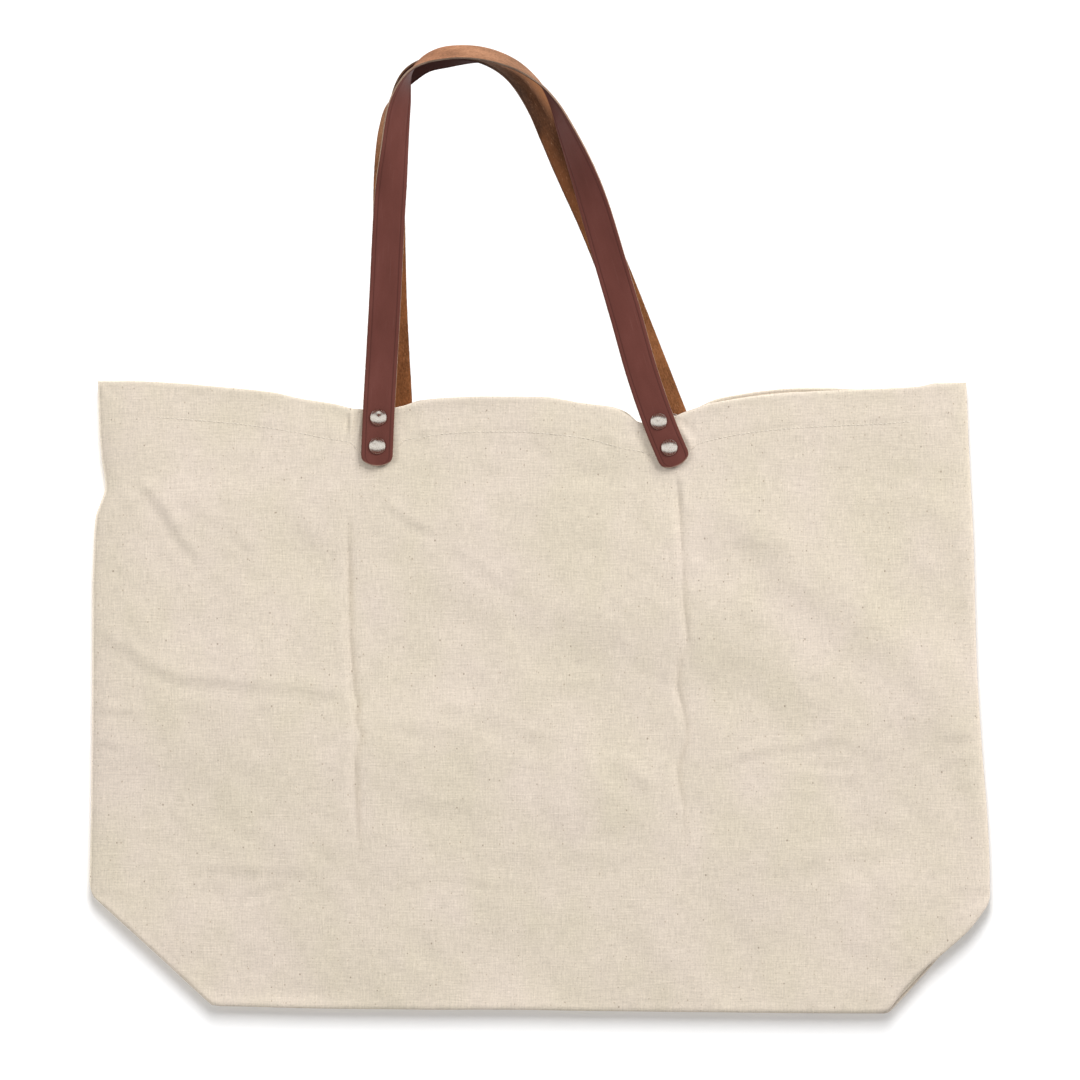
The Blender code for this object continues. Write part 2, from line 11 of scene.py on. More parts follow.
import bpy
import numpy as np
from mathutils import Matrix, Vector

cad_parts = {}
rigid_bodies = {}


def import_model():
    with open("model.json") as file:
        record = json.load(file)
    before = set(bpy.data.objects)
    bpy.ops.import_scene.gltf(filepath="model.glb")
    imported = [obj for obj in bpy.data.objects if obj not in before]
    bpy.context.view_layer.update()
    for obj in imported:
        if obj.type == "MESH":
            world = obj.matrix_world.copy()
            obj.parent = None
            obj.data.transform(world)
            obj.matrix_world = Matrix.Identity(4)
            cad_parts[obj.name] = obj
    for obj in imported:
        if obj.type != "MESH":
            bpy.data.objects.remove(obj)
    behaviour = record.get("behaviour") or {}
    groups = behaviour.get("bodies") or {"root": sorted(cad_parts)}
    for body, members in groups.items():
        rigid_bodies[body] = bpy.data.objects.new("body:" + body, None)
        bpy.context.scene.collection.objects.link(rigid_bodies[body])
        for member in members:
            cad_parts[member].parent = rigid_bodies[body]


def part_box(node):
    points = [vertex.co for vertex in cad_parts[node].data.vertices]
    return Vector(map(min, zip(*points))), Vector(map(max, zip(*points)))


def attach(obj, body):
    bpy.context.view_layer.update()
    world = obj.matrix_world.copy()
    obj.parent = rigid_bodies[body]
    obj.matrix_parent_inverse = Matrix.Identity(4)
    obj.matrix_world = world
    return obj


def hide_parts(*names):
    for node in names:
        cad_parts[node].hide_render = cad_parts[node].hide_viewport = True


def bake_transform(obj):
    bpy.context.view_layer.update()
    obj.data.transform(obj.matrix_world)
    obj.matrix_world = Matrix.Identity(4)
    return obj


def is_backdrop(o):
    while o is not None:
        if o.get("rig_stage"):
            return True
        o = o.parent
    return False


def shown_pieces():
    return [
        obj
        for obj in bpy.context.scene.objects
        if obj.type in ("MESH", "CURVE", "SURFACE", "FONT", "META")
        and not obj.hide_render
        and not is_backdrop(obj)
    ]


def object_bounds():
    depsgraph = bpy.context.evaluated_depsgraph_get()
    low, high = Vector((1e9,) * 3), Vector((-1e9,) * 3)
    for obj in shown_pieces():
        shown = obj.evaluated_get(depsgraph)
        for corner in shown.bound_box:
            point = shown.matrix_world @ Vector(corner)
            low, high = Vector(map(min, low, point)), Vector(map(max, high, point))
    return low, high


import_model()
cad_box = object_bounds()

MM = 0.001
RELIEF = 1.0  # all creases together
KEY = 180.0  # watts of the light on the object
BAG_Y = 1000.0 * (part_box("front_panel")[0].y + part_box("back_panel")[1].y) / 2  # the bag's mid plane

# ---------------------------------------------------------------- dimensions shared with the CAD, millimetres
CANVAS = 0.9
BELLY = 6.6
HEM_HALF = 6.0
PINCH = 34.0
HEM_DEPTH = 24.0
STITCH_DOWN = 22.5
STRAP_WIDTH = 20.0
STRAP_THICK = 2.6
STRAP_Y = 8.2
BEND_Z = 398.0
FRONT_LEAN = -13.8
BACK_LEAN = -6.7
LEAN_END_Z = 575.0
CAP_RADIUS = 5.3
RIVET_UP = (12.8, 30.8)

LEFT_EDGE = ((83.8, -286.4), (120.0, -285.6), (175.0, -285.0), (230.0, -284.6), (268.0, -284.5), (302.0, -283.4), (316.0, -282.4), (326.0, -279.0), (335.0, -276.2), (343.0, -276.8), (352.0, -278.4), (372.0, -280.0), (402.0, -281.0))
RIGHT_EDGE = ((76.0, 286.0), (100.0, 285.6), (131.0, 284.0), (168.0, 281.0), (226.0, 277.5), (300.0, 275.6), (328.0, 274.3), (360.0, 272.6), (401.0, 271.0))
LEFT_LOW = ((-203.0, 5.2), (-207.5, 6.0), (-211.5, 8.6), (-245.0, 39.6), (-280.7, 72.2), (-284.6, 77.4))
RIGHT_LOW_FRONT = ((215.0, 1.2), (219.6, 2.2), (223.6, 5.6), (231.0, 16.2), (243.2, 28.4), (258.0, 40.6), (272.4, 53.6), (281.0, 64.6), (284.8, 70.6))
RIGHT_LOW_BACK = ((215.0, 0.6), (221.0, 0.9), (225.6, 5.0), (243.0, 24.0), (262.0, 45.6), (281.6, 66.6), (285.2, 71.2))

FRONT_TOP = (
    (-281.0, 402.4), (-262.0, 402.8), (-234.0, 401.6), (-203.0, 399.0), (-170.0, 395.6), (-152.0, 391.6), (-131.0, 388.2), (-117.0, 385.0),
    (-102.0, 384.4), (-88.0, 386.6), (-76.0, 390.4), (-58.0, 392.2), (-37.0, 393.0), (0.0, 392.8), (26.0, 388.9), (46.0, 386.2), (55.0, 382.8),
    (64.0, 376.2), (77.0, 377.4), (93.0, 383.4), (112.0, 389.2), (162.0, 395.4), (210.0, 397.6), (240.0, 399.2), (252.0, 401.4), (271.0, 401.8),
)
BACK_TOP_RISE = ((-281.0, 0.4), (-240.0, -0.8), (-120.0, -0.8), (60.0, -1.0), (96.0, -0.3), (116.0, 2.4), (150.0, 3.0), (186.0, 1.6), (206.0, 0.2), (271.0, -0.6))

FRONT_LINE = (
    (-103.8, 348.6, 0), (-102.5, 380.6, 0), (-98.7, 447.7, 0), (-95.3, 513.7, 5), (-92.7, 546.0, 30), (-88.9, 579.0, 50),
    (-82.6, 598.4, 86), (-73.7, 606.0, 103), (-63.5, 609.8, 113), (-52.1, 611.2, 115), (-38.1, 610.4, 115), (-25.4, 607.2, 112),
    (-12.7, 601.4, 105), (1.7, 589.5, 91), (9.9, 576.9, 76), (16.0, 563.0, 61), (26.8, 536.2, 38), (34.4, 513.3, 21),
    (43.9, 480.4, 8), (54.4, 444.4, 0), (64.6, 408.3, 0), (76.3, 374.5, 0), (87.2, 348.6, 0),
)
BACK_LINE = (
    (-89.6, 348.6, 180), (-91.4, 388.6, 180), (-94.6, 450.0, 180), (-95.9, 505.0, 176), (-96.6, 545.0, 146), (-97.0, 564.0, 122),
    (-96.4, 577.0, 100), (-91.8, 586.2, 80), (-83.2, 597.0, 64), (-72.0, 603.9, 67), (-57.2, 605.8, 75), (-38.4, 605.2, 93),
    (-23.4, 601.3, 112), (-11.4, 593.9, 134), (0.4, 577.8, 149), (9.0, 559.6, 158), (17.5, 540.3, 164), (34.6, 503.0, 172),
    (47.6, 471.2, 179), (66.0, 425.0, 180), (83.8, 379.7, 180), (96.1, 348.6, 180),
)


# ---------------------------------------------------------------- small tools
def table(rows, t):
    """Smooth interpolation of (t, value) rows at an array, monotone between rows (Fritsch-Carlson)."""
    xs = np.array([r[0] for r in rows], float)
    ys = np.array([r[1] for r in rows], float)
    h = np.diff(xs)
    d = np.diff(ys) / h
    m = np.zeros_like(xs)
    m[1:-1] = np.where(d[:-1] * d[1:] > 0, 2 * d[:-1] * d[1:] / np.where(d[:-1] + d[1:] == 0, 1, d[:-1] + d[1:]), 0)
    m[0], m[-1] = d[0], d[-1]
    t = np.clip(np.asarray(t, float), xs[0], xs[-1])
    i = np.clip(np.searchsorted(xs, t, side="right") - 1, 0, len(xs) - 2)
    f = (t - xs[i]) / h[i]
    return (
        (1 + 2 * f) * (1 - f) ** 2 * ys[i] + f * (1 - f) ** 2 * h[i] * m[i]
        + f * f * (3 - 2 * f) * ys[i + 1] + f * f * (f - 1) * h[i] * m[i + 1]
    )


def smooth(t):
    t = np.clip(t, 0.0, 1.0)
    return t * t * (3 - 2 * t)


def bump(x, centre, width):
    return np.exp(-(((x - centre) / width) ** 2))


def lattice(seed, n=64):
    return np.random.default_rng(seed).random((n, n))


def noise(x, z, cell, seed):
    """Smooth value noise in -1..1 with cells of the given size (a number, or one for each axis)."""
    g = lattice(seed)
    n = g.shape[0]
    cx, cz = cell if isinstance(cell, tuple) else (cell, cell)
    x, z = np.asarray(x, float) / cx + 17.3, np.asarray(z, float) / cz + 5.1
    i, j = np.floor(x).astype(int), np.floor(z).astype(int)
    f, e = x - i, z - j
    f, e = f * f * f * (f * (f * 6 - 15) + 10), e * e * e * (e * (e * 6 - 15) + 10)
    a, b = g[i % n, j % n], g[(i + 1) % n, j % n]
    c, d = g[i % n, (j + 1) % n], g[(i + 1) % n, (j + 1) % n]
    return 2 * ((a * (1 - f) + b * f) * (1 - e) + (c * (1 - f) + d * f) * e) - 1


def to_line(x, z, line):
    """Distance to a polyline, signed positive on its left, and the nearest point's share of its length."""
    pts = np.array(line, float)
    seg = pts[1:] - pts[:-1]
    length = np.hypot(seg[:, 0], seg[:, 1])
    start = np.concatenate([[0], np.cumsum(length)[:-1]])
    best = np.full(np.shape(x), 1e9)
    sign = np.ones(np.shape(x))
    share = np.zeros(np.shape(x))
    for k in range(len(seg)):
        dx, dz = x - pts[k, 0], z - pts[k, 1]
        f = np.clip((dx * seg[k, 0] + dz * seg[k, 1]) / max(1e-9, length[k] ** 2), 0, 1)
        ex, ez = dx - f * seg[k, 0], dz - f * seg[k, 1]
        d = np.hypot(ex, ez)
        near = d < best
        best = np.where(near, d, best)
        sign = np.where(near, np.sign(seg[k, 0] * dz - seg[k, 1] * dx), sign)
        share = np.where(near, (start[k] + f * length[k]) / length.sum(), share)
    return best * np.where(sign == 0, 1, sign), share


def new_object(name, verts, faces, uvs=None, marks=None, materials=(), flat=False):
    """A mesh object from millimetre points in the bag's coordinates and equal-sided faces (arrays or lists)."""
    co = np.array(verts, float)
    co = np.column_stack([co[:, 0], co[:, 1] + BAG_Y, co[:, 2]]) * MM
    me = bpy.data.meshes.new(name)
    if isinstance(faces, np.ndarray):
        n, k = faces.shape
        me.vertices.add(len(co))
        me.vertices.foreach_set("co", co.astype(np.float32).ravel())
        me.loops.add(n * k)
        me.loops.foreach_set("vertex_index", faces.astype(np.int32).ravel())
        me.polygons.add(n)
        me.polygons.foreach_set("loop_start", np.arange(0, n * k, k, dtype=np.int32))
        me.polygons.foreach_set("loop_total", np.full(n, k, dtype=np.int32))
    else:
        me.from_pydata([tuple(c) for c in co], [], [tuple(int(i) for i in f) for f in faces])
    if uvs is not None:
        layer = me.uv_layers.new(name="cloth")
        index = np.zeros(len(me.loops), np.int32)
        me.loops.foreach_get("vertex_index", index)
        layer.data.foreach_set("uv", np.array(uvs, np.float32)[index].ravel())
    if marks is not None:
        me.polygons.foreach_set("material_index", np.array(marks, np.int32))
    me.polygons.foreach_set("use_smooth", np.full(len(me.polygons), not flat))
    me.update()
    me.validate()
    for m in materials:
        me.materials.append(m)
    o = bpy.data.objects.new(name, me)
    bpy.context.scene.collection.objects.link(o)
    return o


def grid_faces(rows, cols, base=0, flip=False):
    i, j = np.meshgrid(np.arange(rows - 1), np.arange(cols - 1), indexing="ij")
    a = (base + i * cols + j).ravel()
    f = np.stack([a, a + 1, a + cols + 1, a + cols], axis=1)
    return f[:, ::-1] if flip else f


def ring_faces(rows, n, base=0, flip=False):
    """Faces round a tube of rows of n points each."""
    i, j = np.meshgrid(np.arange(rows - 1), np.arange(n), indexing="ij")
    a = (base + i * n + j).ravel()
    b = (base + i * n + (j + 1) % n).ravel()
    f = np.stack([a, b, b + n, a + n], axis=1)
    return f[:, ::-1] if flip else f


# ---------------------------------------------------------------- materials
class Graph:
    """Short hand for building a node material."""

    def __init__(self, name):
        self.mat = bpy.data.materials.new(name)
        self.mat.use_nodes = True
        self.tree = self.mat.node_tree
        self.out = self.tree.nodes["Material Output"]
        self.bsdf = self.tree.nodes["Principled BSDF"]

    def node(self, kind, props=None, **inputs):
        n = self.tree.nodes.new(kind)
        for k, v in (props or {}).items():
            setattr(n, k, v)
        for k, v in inputs.items():
            self.put(n.inputs[k.replace("_", " ")] if k.replace("_", " ") in n.inputs else n.inputs[int(k[1:])], v)
        return n

    def put(self, socket, value):
        if isinstance(value, bpy.types.NodeSocket):
            self.tree.links.new(value, socket)
        elif hasattr(socket, "default_value"):
            try:
                socket.default_value = value
            except (TypeError, ValueError):
                socket.default_value = (*value, 1.0)

    def math(self, op, a, b=0.0, c=0.0, clamp=False):
        n = self.node("ShaderNodeMath", {"operation": op, "use_clamp": clamp})
        for s, v in zip(n.inputs, (a, b, c)):
            self.put(s, v)
        return n.outputs[0]

    def scaled(self, vector, sx, sy, sz=1.0, shift=(0.0, 0.0, 0.0)):
        n = self.node("ShaderNodeMapping")
        self.put(n.inputs["Vector"], vector)
        n.inputs["Scale"].default_value = (sx, sy, sz)
        n.inputs["Location"].default_value = shift
        return n.outputs[0]

    def noise(self, vector, scale=1.0, detail=2.0, rough=0.5, distort=0.0):
        n = self.node("ShaderNodeTexNoise")
        self.put(n.inputs["Vector"], vector)
        n.inputs["Scale"].default_value = scale
        n.inputs["Detail"].default_value = detail
        n.inputs["Roughness"].default_value = rough
        n.inputs["Distortion"].default_value = distort
        return n.outputs["Fac"]

    def ramp(self, value, stops, interpolation="LINEAR"):
        n = self.node("ShaderNodeValToRGB")
        self.put(n.inputs["Fac"], value)
        r = n.color_ramp
        r.interpolation = interpolation
        while len(r.elements) < len(stops):
            r.elements.new(0.5)
        for e, (p, c) in zip(r.elements, stops):
            e.position = p
            e.color = (*c, 1.0) if len(c) == 3 else c
        return n.outputs["Color"]

    def mix(self, fac, a, b, mode="MIX"):
        n = self.node("ShaderNodeMix", {"data_type": "RGBA", "blend_type": mode})
        sockets = [s for s in n.inputs if s.enabled]
        for s, v in zip((n.inputs[0], n.inputs[6], n.inputs[7]), (fac, a, b)):
            self.put(s, v)
        return n.outputs[2]

    def bump(self, height, strength, distance, normal=None):
        n = self.node("ShaderNodeBump")
        n.inputs["Strength"].default_value = strength
        n.inputs["Distance"].default_value = distance
        self.put(n.inputs["Height"], height)
        if normal is not None:
            self.put(n.inputs["Normal"], normal)
        return n.outputs["Normal"]

    def uv(self):
        n = self.node("ShaderNodeUVMap")
        n.uv_map = "cloth"
        return n.outputs["UV"]


def grey(v):
    return (v, v, v)


def canvas_material(name, tone=1.0, seed=0.0):
    """Unbleached plain-weave cotton: yarns of uneven thickness and tone, slubs, seed flecks."""
    g = Graph(name)
    uv = g.node("ShaderNodeVectorMath", {"operation": "ADD"}, i0=g.uv(), i1=(seed, seed * 0.7, 0.0)).outputs[0]
    wobble = g.node("ShaderNodeTexNoise")
    g.put(wobble.inputs["Vector"], g.scaled(uv, 60.0, 60.0))
    wobble.inputs["Scale"].default_value = 1.0
    wob = g.node("ShaderNodeVectorMath", {"operation": "MULTIPLY_ADD"}, i0=wobble.outputs["Color"], i1=(0.0012, 0.0012, 0.0), i2=uv).outputs[0]
    sep = g.node("ShaderNodeSeparateXYZ")
    g.put(sep.inputs[0], wob)
    # the weave itself: a raised spot where a warp yarn crosses over, every 0.9 mm
    a = g.math("SINE", g.math("MULTIPLY", sep.outputs[0], 2 * math.pi / 0.00092))
    b = g.math("SINE", g.math("MULTIPLY", sep.outputs[1], 2 * math.pi / 0.00098))
    weave = g.math("MULTIPLY_ADD", g.math("MULTIPLY", a, b), 0.5, 0.5)
    # yarn by yarn differences, long along the yarn and one yarn wide
    warp = g.noise(g.scaled(wob, 1100.0, 105.0), 1.0, 2.0, 0.6)
    weft = g.noise(g.scaled(wob, 95.0, 1050.0, shift=(3.1, 7.7, 0)), 1.0, 2.0, 0.6)
    grain = g.noise(g.scaled(wob, 820.0, 820.0, shift=(9.0, 2.0, 0)), 1.0, 1.0, 0.5)
    slub = g.noise(g.scaled(wob, 46.0, 900.0, shift=(1.0, 4.0, 0)), 1.0, 0.0, 0.5)
    slub2 = g.noise(g.scaled(wob, 900.0, 40.0, shift=(5.0, 1.0, 0)), 1.0, 0.0, 0.5)
    slubs = g.math("MAXIMUM", g.ramp(slub, ((0.66, grey(0)), (0.78, grey(1)))), g.ramp(slub2, ((0.69, grey(0)), (0.8, grey(1)))))
    soft = g.noise(g.scaled(uv, 16.0, 11.0, shift=(2.0, 0, 0)), 1.0, 3.0, 0.55)
    bands = g.noise(g.scaled(uv, 2.0, 130.0, shift=(0, 3.0, 0)), 1.0, 2.0, 0.6)
    lum = g.math("MULTIPLY_ADD", g.math("SUBTRACT", warp, 0.5), 0.36, 1.0)
    lum = g.math("MULTIPLY_ADD", g.math("SUBTRACT", weft, 0.5), 0.34, lum)
    lum = g.math("MULTIPLY_ADD", g.math("SUBTRACT", grain, 0.5), 0.30, lum)
    lum = g.math("MULTIPLY_ADD", g.math("SUBTRACT", weave, 0.5), 0.05, lum)
    lum = g.math("MULTIPLY_ADD", slubs, 0.035, lum)
    lum = g.math("MULTIPLY_ADD", g.math("SUBTRACT", soft, 0.5), 0.13, lum)
    lum = g.math("MULTIPLY_ADD", g.math("SUBTRACT", bands, 0.5), 0.05, lum)
    base = g.mix(g.ramp(soft, ((0.36, grey(0)), (0.64, grey(1)))), (0.640 * tone, 0.566 * tone, 0.452 * tone, 1), (0.646 * tone, 0.561 * tone, 0.474 * tone, 1))
    shade = g.node("ShaderNodeVectorMath", {"operation": "SCALE"})
    g.put(shade.inputs[0], base)
    g.put(shade.inputs["Scale"], lum)
    # seed flecks: small dark dots, one in some of the cells of a fine and a coarse scatter
    colour = shade.outputs[0]
    for cell, size, keep, tint, strength, off in (
        (0.0080, 0.042, 0.66, (0.25, 0.17, 0.10, 1), 0.42, 0.0), (0.0040, 0.068, 0.62, (0.38, 0.29, 0.20, 1), 0.34, 0.37), (0.0170, 0.022, 0.55, (0.14, 0.085, 0.05, 1), 0.50, 0.71),
    ):
        v = g.node("ShaderNodeTexVoronoi", {"feature": "F1", "voronoi_dimensions": "2D"})
        g.put(v.inputs["Vector"], g.scaled(uv, 1 / cell, 0.8 / cell, shift=(off, off, 0)))
        v.inputs["Scale"].default_value = 1.0
        hue = g.node("ShaderNodeSeparateXYZ")
        g.put(hue.inputs[0], v.outputs["Color"])
        dot = g.math("LESS_THAN", v.outputs["Distance"], g.math("MULTIPLY_ADD", hue.outputs[1], size, size * 0.5))
        dot = g.math("MULTIPLY", dot, g.math("GREATER_THAN", hue.outputs[0], keep))
        colour = g.mix(g.math("MULTIPLY", dot, strength), colour, tint)
    # painted shade in the valleys of the pressed folds
    soil = g.node("ShaderNodeAttribute", {"attribute_name": "soil"})
    colour = g.mix(g.math("MULTIPLY", soil.outputs["Fac"], 0.46, clamp=True), colour, (0.35, 0.265, 0.15, 1))
    g.put(g.bsdf.inputs["Base Color"], colour)
    g.bsdf.inputs["Roughness"].default_value = 0.92
    g.bsdf.inputs["Specular IOR Level"].default_value = 0.18
    g.bsdf.inputs["Sheen Weight"].default_value = 0.12
    g.bsdf.inputs["Sheen Roughness"].default_value = 0.5
    height = g.math("MULTIPLY_ADD", weave, 0.5, g.math("MULTIPLY", warp, 0.9))
    height = g.math("MULTIPLY_ADD", weft, 0.9, height)
    height = g.math("MULTIPLY_ADD", slubs, 0.6, height)
    g.put(g.bsdf.inputs["Normal"], g.bump(height, 0.4, 0.00014))
    return g.mat


def thread_material(name):
    """Twisted cotton thread: diagonal plies along the stitch."""
    g = Graph(name)
    uv = g.uv()
    sep = g.node("ShaderNodeSeparateXYZ")
    g.put(sep.inputs[0], uv)
    twist = g.math("SINE", g.math("ADD", g.math("MULTIPLY", sep.outputs[0], 2 * math.pi / 0.0007), g.math("MULTIPLY", sep.outputs[1], 2 * math.pi)))
    fuzz = g.noise(g.scaled(uv, 2500.0, 6.0), 1.0, 2.0)
    tone = g.math("MULTIPLY_ADD", twist, 0.12, g.math("MULTIPLY", fuzz, 0.9))
    g.put(g.bsdf.inputs["Base Color"], g.ramp(tone, ((0.2, (0.66, 0.59, 0.48)), (0.6, (0.78, 0.72, 0.62)))))
    g.bsdf.inputs["Roughness"].default_value = 0.8
    g.bsdf.inputs["Sheen Weight"].default_value = 0.2
    g.put(g.bsdf.inputs["Normal"], g.bump(twist, 0.5, 0.0001))
    return g.mat


def leather_material(name, shade):
    """Finished brown side: fine pebbled grain, faint scuffs, darker pressed lines. `shade` are (share along, factor)
    stops of painted shade where the face turns down at the top of the handle.
    """
    g = Graph(name)
    uv = g.uv()
    v = g.node("ShaderNodeTexVoronoi", {"feature": "DISTANCE_TO_EDGE", "voronoi_dimensions": "2D"})
    g.put(v.inputs["Vector"], g.scaled(uv, 1500.0, 1500.0))
    v.inputs["Scale"].default_value = 1.0
    pores = g.ramp(v.outputs["Distance"], ((0.0, grey(0)), (0.16, grey(1))))
    fine = g.noise(g.scaled(uv, 900.0, 1300.0), 1.0, 3.0, 0.6)
    cloud = g.noise(g.scaled(uv, 26.0, 70.0), 1.0, 3.0, 0.55)
    scuff = g.ramp(g.noise(g.scaled(uv, 35.0, 900.0, shift=(4, 1, 0)), 1.0, 2.0, 0.6), ((0.62, grey(0)), (0.76, grey(1))))
    sep = g.node("ShaderNodeSeparateXYZ")
    g.put(sep.inputs[0], uv)
    side = g.math("ABSOLUTE", sep.outputs[1])
    line = g.math("SUBTRACT", 1.0, g.math("MULTIPLY", g.math("ABSOLUTE", g.math("SUBTRACT", side, 0.0076)), 1600.0), clamp=True)
    rim = g.ramp(g.math("MULTIPLY", side, 100.0), ((0.955, grey(0)), (1.0, grey(1))))
    tone = g.ramp(g.math("MULTIPLY_ADD", cloud, 0.7, g.math("MULTIPLY", fine, 0.3)), ((0.30, (0.106, 0.034, 0.026)), (0.52, (0.130, 0.042, 0.033)), (0.72, (0.152, 0.052, 0.042))))
    colour = g.mix(g.math("MULTIPLY", line, 0.45), tone, (0.062, 0.022, 0.018, 1))
    colour = g.mix(g.math("MULTIPLY", g.math("SUBTRACT", 1.0, pores), 0.22), colour, (0.07, 0.024, 0.018, 1))
    colour = g.mix(g.math("MULTIPLY", scuff, 0.16), colour, (0.26, 0.12, 0.10, 1))
    colour = g.mix(g.math("MULTIPLY", rim, 0.5), colour, (0.075, 0.026, 0.018, 1))
    # painted shade along the strap where its face turns down under the other band; the specular is dimmed there too
    along = g.ramp(g.math("MULTIPLY", sep.outputs[0], 1 / 0.64), tuple((p, grey(v)) for p, v in shade))
    colour = g.mix(1.0, colour, along, "MULTIPLY")
    tip = g.node("ShaderNodeAttribute", {"attribute_name": "cut_tip"})
    colour = g.mix(tip.outputs["Fac"], colour, (0.44, 0.31, 0.23, 1))
    g.put(g.bsdf.inputs["Base Color"], colour)
    g.put(g.bsdf.inputs["Roughness"], g.math("MULTIPLY_ADD", fine, 0.16, g.math("MULTIPLY_ADD", cloud, 0.10, 0.44)))
    g.put(g.bsdf.inputs["Specular IOR Level"], g.math("MULTIPLY", g.math("POWER", along, 3.0), 0.15))
    height = g.math("MULTIPLY_ADD", pores, 0.5, g.math("MULTIPLY", fine, 0.6))
    g.put(g.bsdf.inputs["Normal"], g.bump(height, 0.35, 0.00010))
    return g.mat


def suede_material(name, tones, hollow=False):
    """Bare flesh side: nap, fibres and worn patches. `tones` are (share along the strap, colour) stops, whose darker
    stretches are painted shade.
    """
    g = Graph(name)
    uv = g.uv()
    nap = g.noise(g.scaled(uv, 620.0, 900.0), 1.0, 4.0, 0.7)
    fibre = g.noise(g.scaled(uv, 260.0, 1500.0, shift=(2, 5, 0)), 1.0, 3.0, 0.6)
    patch = g.noise(g.scaled(uv, 45.0, 90.0, shift=(7, 1, 0)), 1.0, 4.0, 0.6)
    value = g.math("MULTIPLY_ADD", nap, 0.45, g.math("MULTIPLY_ADD", fibre, 0.25, g.math("MULTIPLY", patch, 0.45)))
    sep = g.node("ShaderNodeSeparateXYZ")
    g.put(sep.inputs[0], uv)
    along = g.math("MULTIPLY_ADD", g.math("SUBTRACT", patch, 0.5), 0.05, g.math("MULTIPLY", sep.outputs[0], 1 / 0.64))
    # painted shade: the darker stretches of the tones stand for shade on the legs and under the other handle
    tone = g.ramp(along, tones)
    shade = g.node("ShaderNodeVectorMath", {"operation": "SCALE"})
    g.put(shade.inputs[0], tone)
    g.put(shade.inputs["Scale"], g.math("MULTIPLY_ADD", g.math("SUBTRACT", value, 0.575), 3.5, 1.0))
    if hollow:
        # where the other handle lies over this one: at the turn, painted shade down the middle and paler along its
        # outer side; in the leg, paler along its inner side and painted shade towards its outer side, which the other
        # handle covers
        across = g.math("MULTIPLY_ADD", sep.outputs[1], 50.0, 0.5)
        turn = g.ramp(along, ((0.42, grey(0)), (0.46, grey(1)), (0.545, grey(1)), (0.575, grey(0))))
        leg = g.ramp(along, ((0.565, grey(0)), (0.59, grey(1)), (0.66, grey(1)), (0.70, grey(0))))
        painted_overlap_shade = g.math("MULTIPLY", turn, g.ramp(across, ((0.10, grey(0)), (0.28, grey(1)), (0.48, grey(1)), (0.62, grey(0)))))
        shaded = g.mix(painted_overlap_shade, shade.outputs[0], g.mix(1.0, shade.outputs[0], (0.52, 0.44, 0.35, 1), "MULTIPLY"))
        shaded = g.mix(g.math("MULTIPLY", turn, g.ramp(across, ((0.50, grey(0)), (0.80, grey(0.9))))), shaded, (0.22, 0.095, 0.043, 1))
        shaded = g.mix(g.math("MULTIPLY", leg, g.ramp(across, ((0.10, grey(0.55)), (0.42, grey(0))))), shaded, (0.15, 0.058, 0.024, 1))
        shaded = g.mix(leg, shaded, g.mix(1.0, shaded, g.ramp(across, ((0.22, grey(1)), (0.60, grey(0.45)))), "MULTIPLY"))
    else:
        shaded = shade.outputs[0]
    # the raised fibres catch paler
    colour = g.mix(g.math("MULTIPLY", g.ramp(fibre, ((0.60, grey(0)), (0.78, grey(1)))), 0.35), shaded, (0.46, 0.29, 0.18, 1))
    g.put(g.bsdf.inputs["Base Color"], colour)
    g.bsdf.inputs["Roughness"].default_value = 0.95
    g.bsdf.inputs["Specular IOR Level"].default_value = 0.10
    g.bsdf.inputs["Sheen Weight"].default_value = 0.08
    g.bsdf.inputs["Sheen Roughness"].default_value = 0.4
    g.bsdf.inputs["Sheen Tint"].default_value = (0.85, 0.6, 0.42, 1)
    g.put(g.bsdf.inputs["Normal"], g.bump(g.math("ADD", nap, fibre), 0.7, 0.00035))
    return g.mat


def raw_edge_material(name, tones, turn_shade=None):
    """Cut edge of the strap: dyed skin on one side, pale fibre core, layered."""
    g = Graph(name)
    uv = g.uv()
    layer = g.noise(g.scaled(uv, 90.0, 2200.0), 1.0, 3.0, 0.6)
    fibre = g.noise(g.scaled(uv, 1300.0, 1300.0), 1.0, 2.0, 0.6)
    value = g.math("MULTIPLY_ADD", layer, 0.6, g.math("MULTIPLY", fibre, 0.4))
    colour = g.ramp(value, tuple(zip((0.34, 0.5, 0.68), tones)))
    if turn_shade:  # (share along, factor): painted shade where the edge turns down at the top of the handle
        sep = g.node("ShaderNodeSeparateXYZ")
        g.put(sep.inputs[0], uv)
        colour = g.mix(1.0, colour, g.ramp(g.math("MULTIPLY", sep.outputs[0], 1 / 0.64), tuple((p, grey(v)) for p, v in turn_shade)), "MULTIPLY")
    g.put(g.bsdf.inputs["Base Color"], colour)
    g.bsdf.inputs["Roughness"].default_value = 0.85
    g.bsdf.inputs["Specular IOR Level"].default_value = 0.2
    g.put(g.bsdf.inputs["Normal"], g.bump(value, 0.6, 0.0002))
    return g.mat


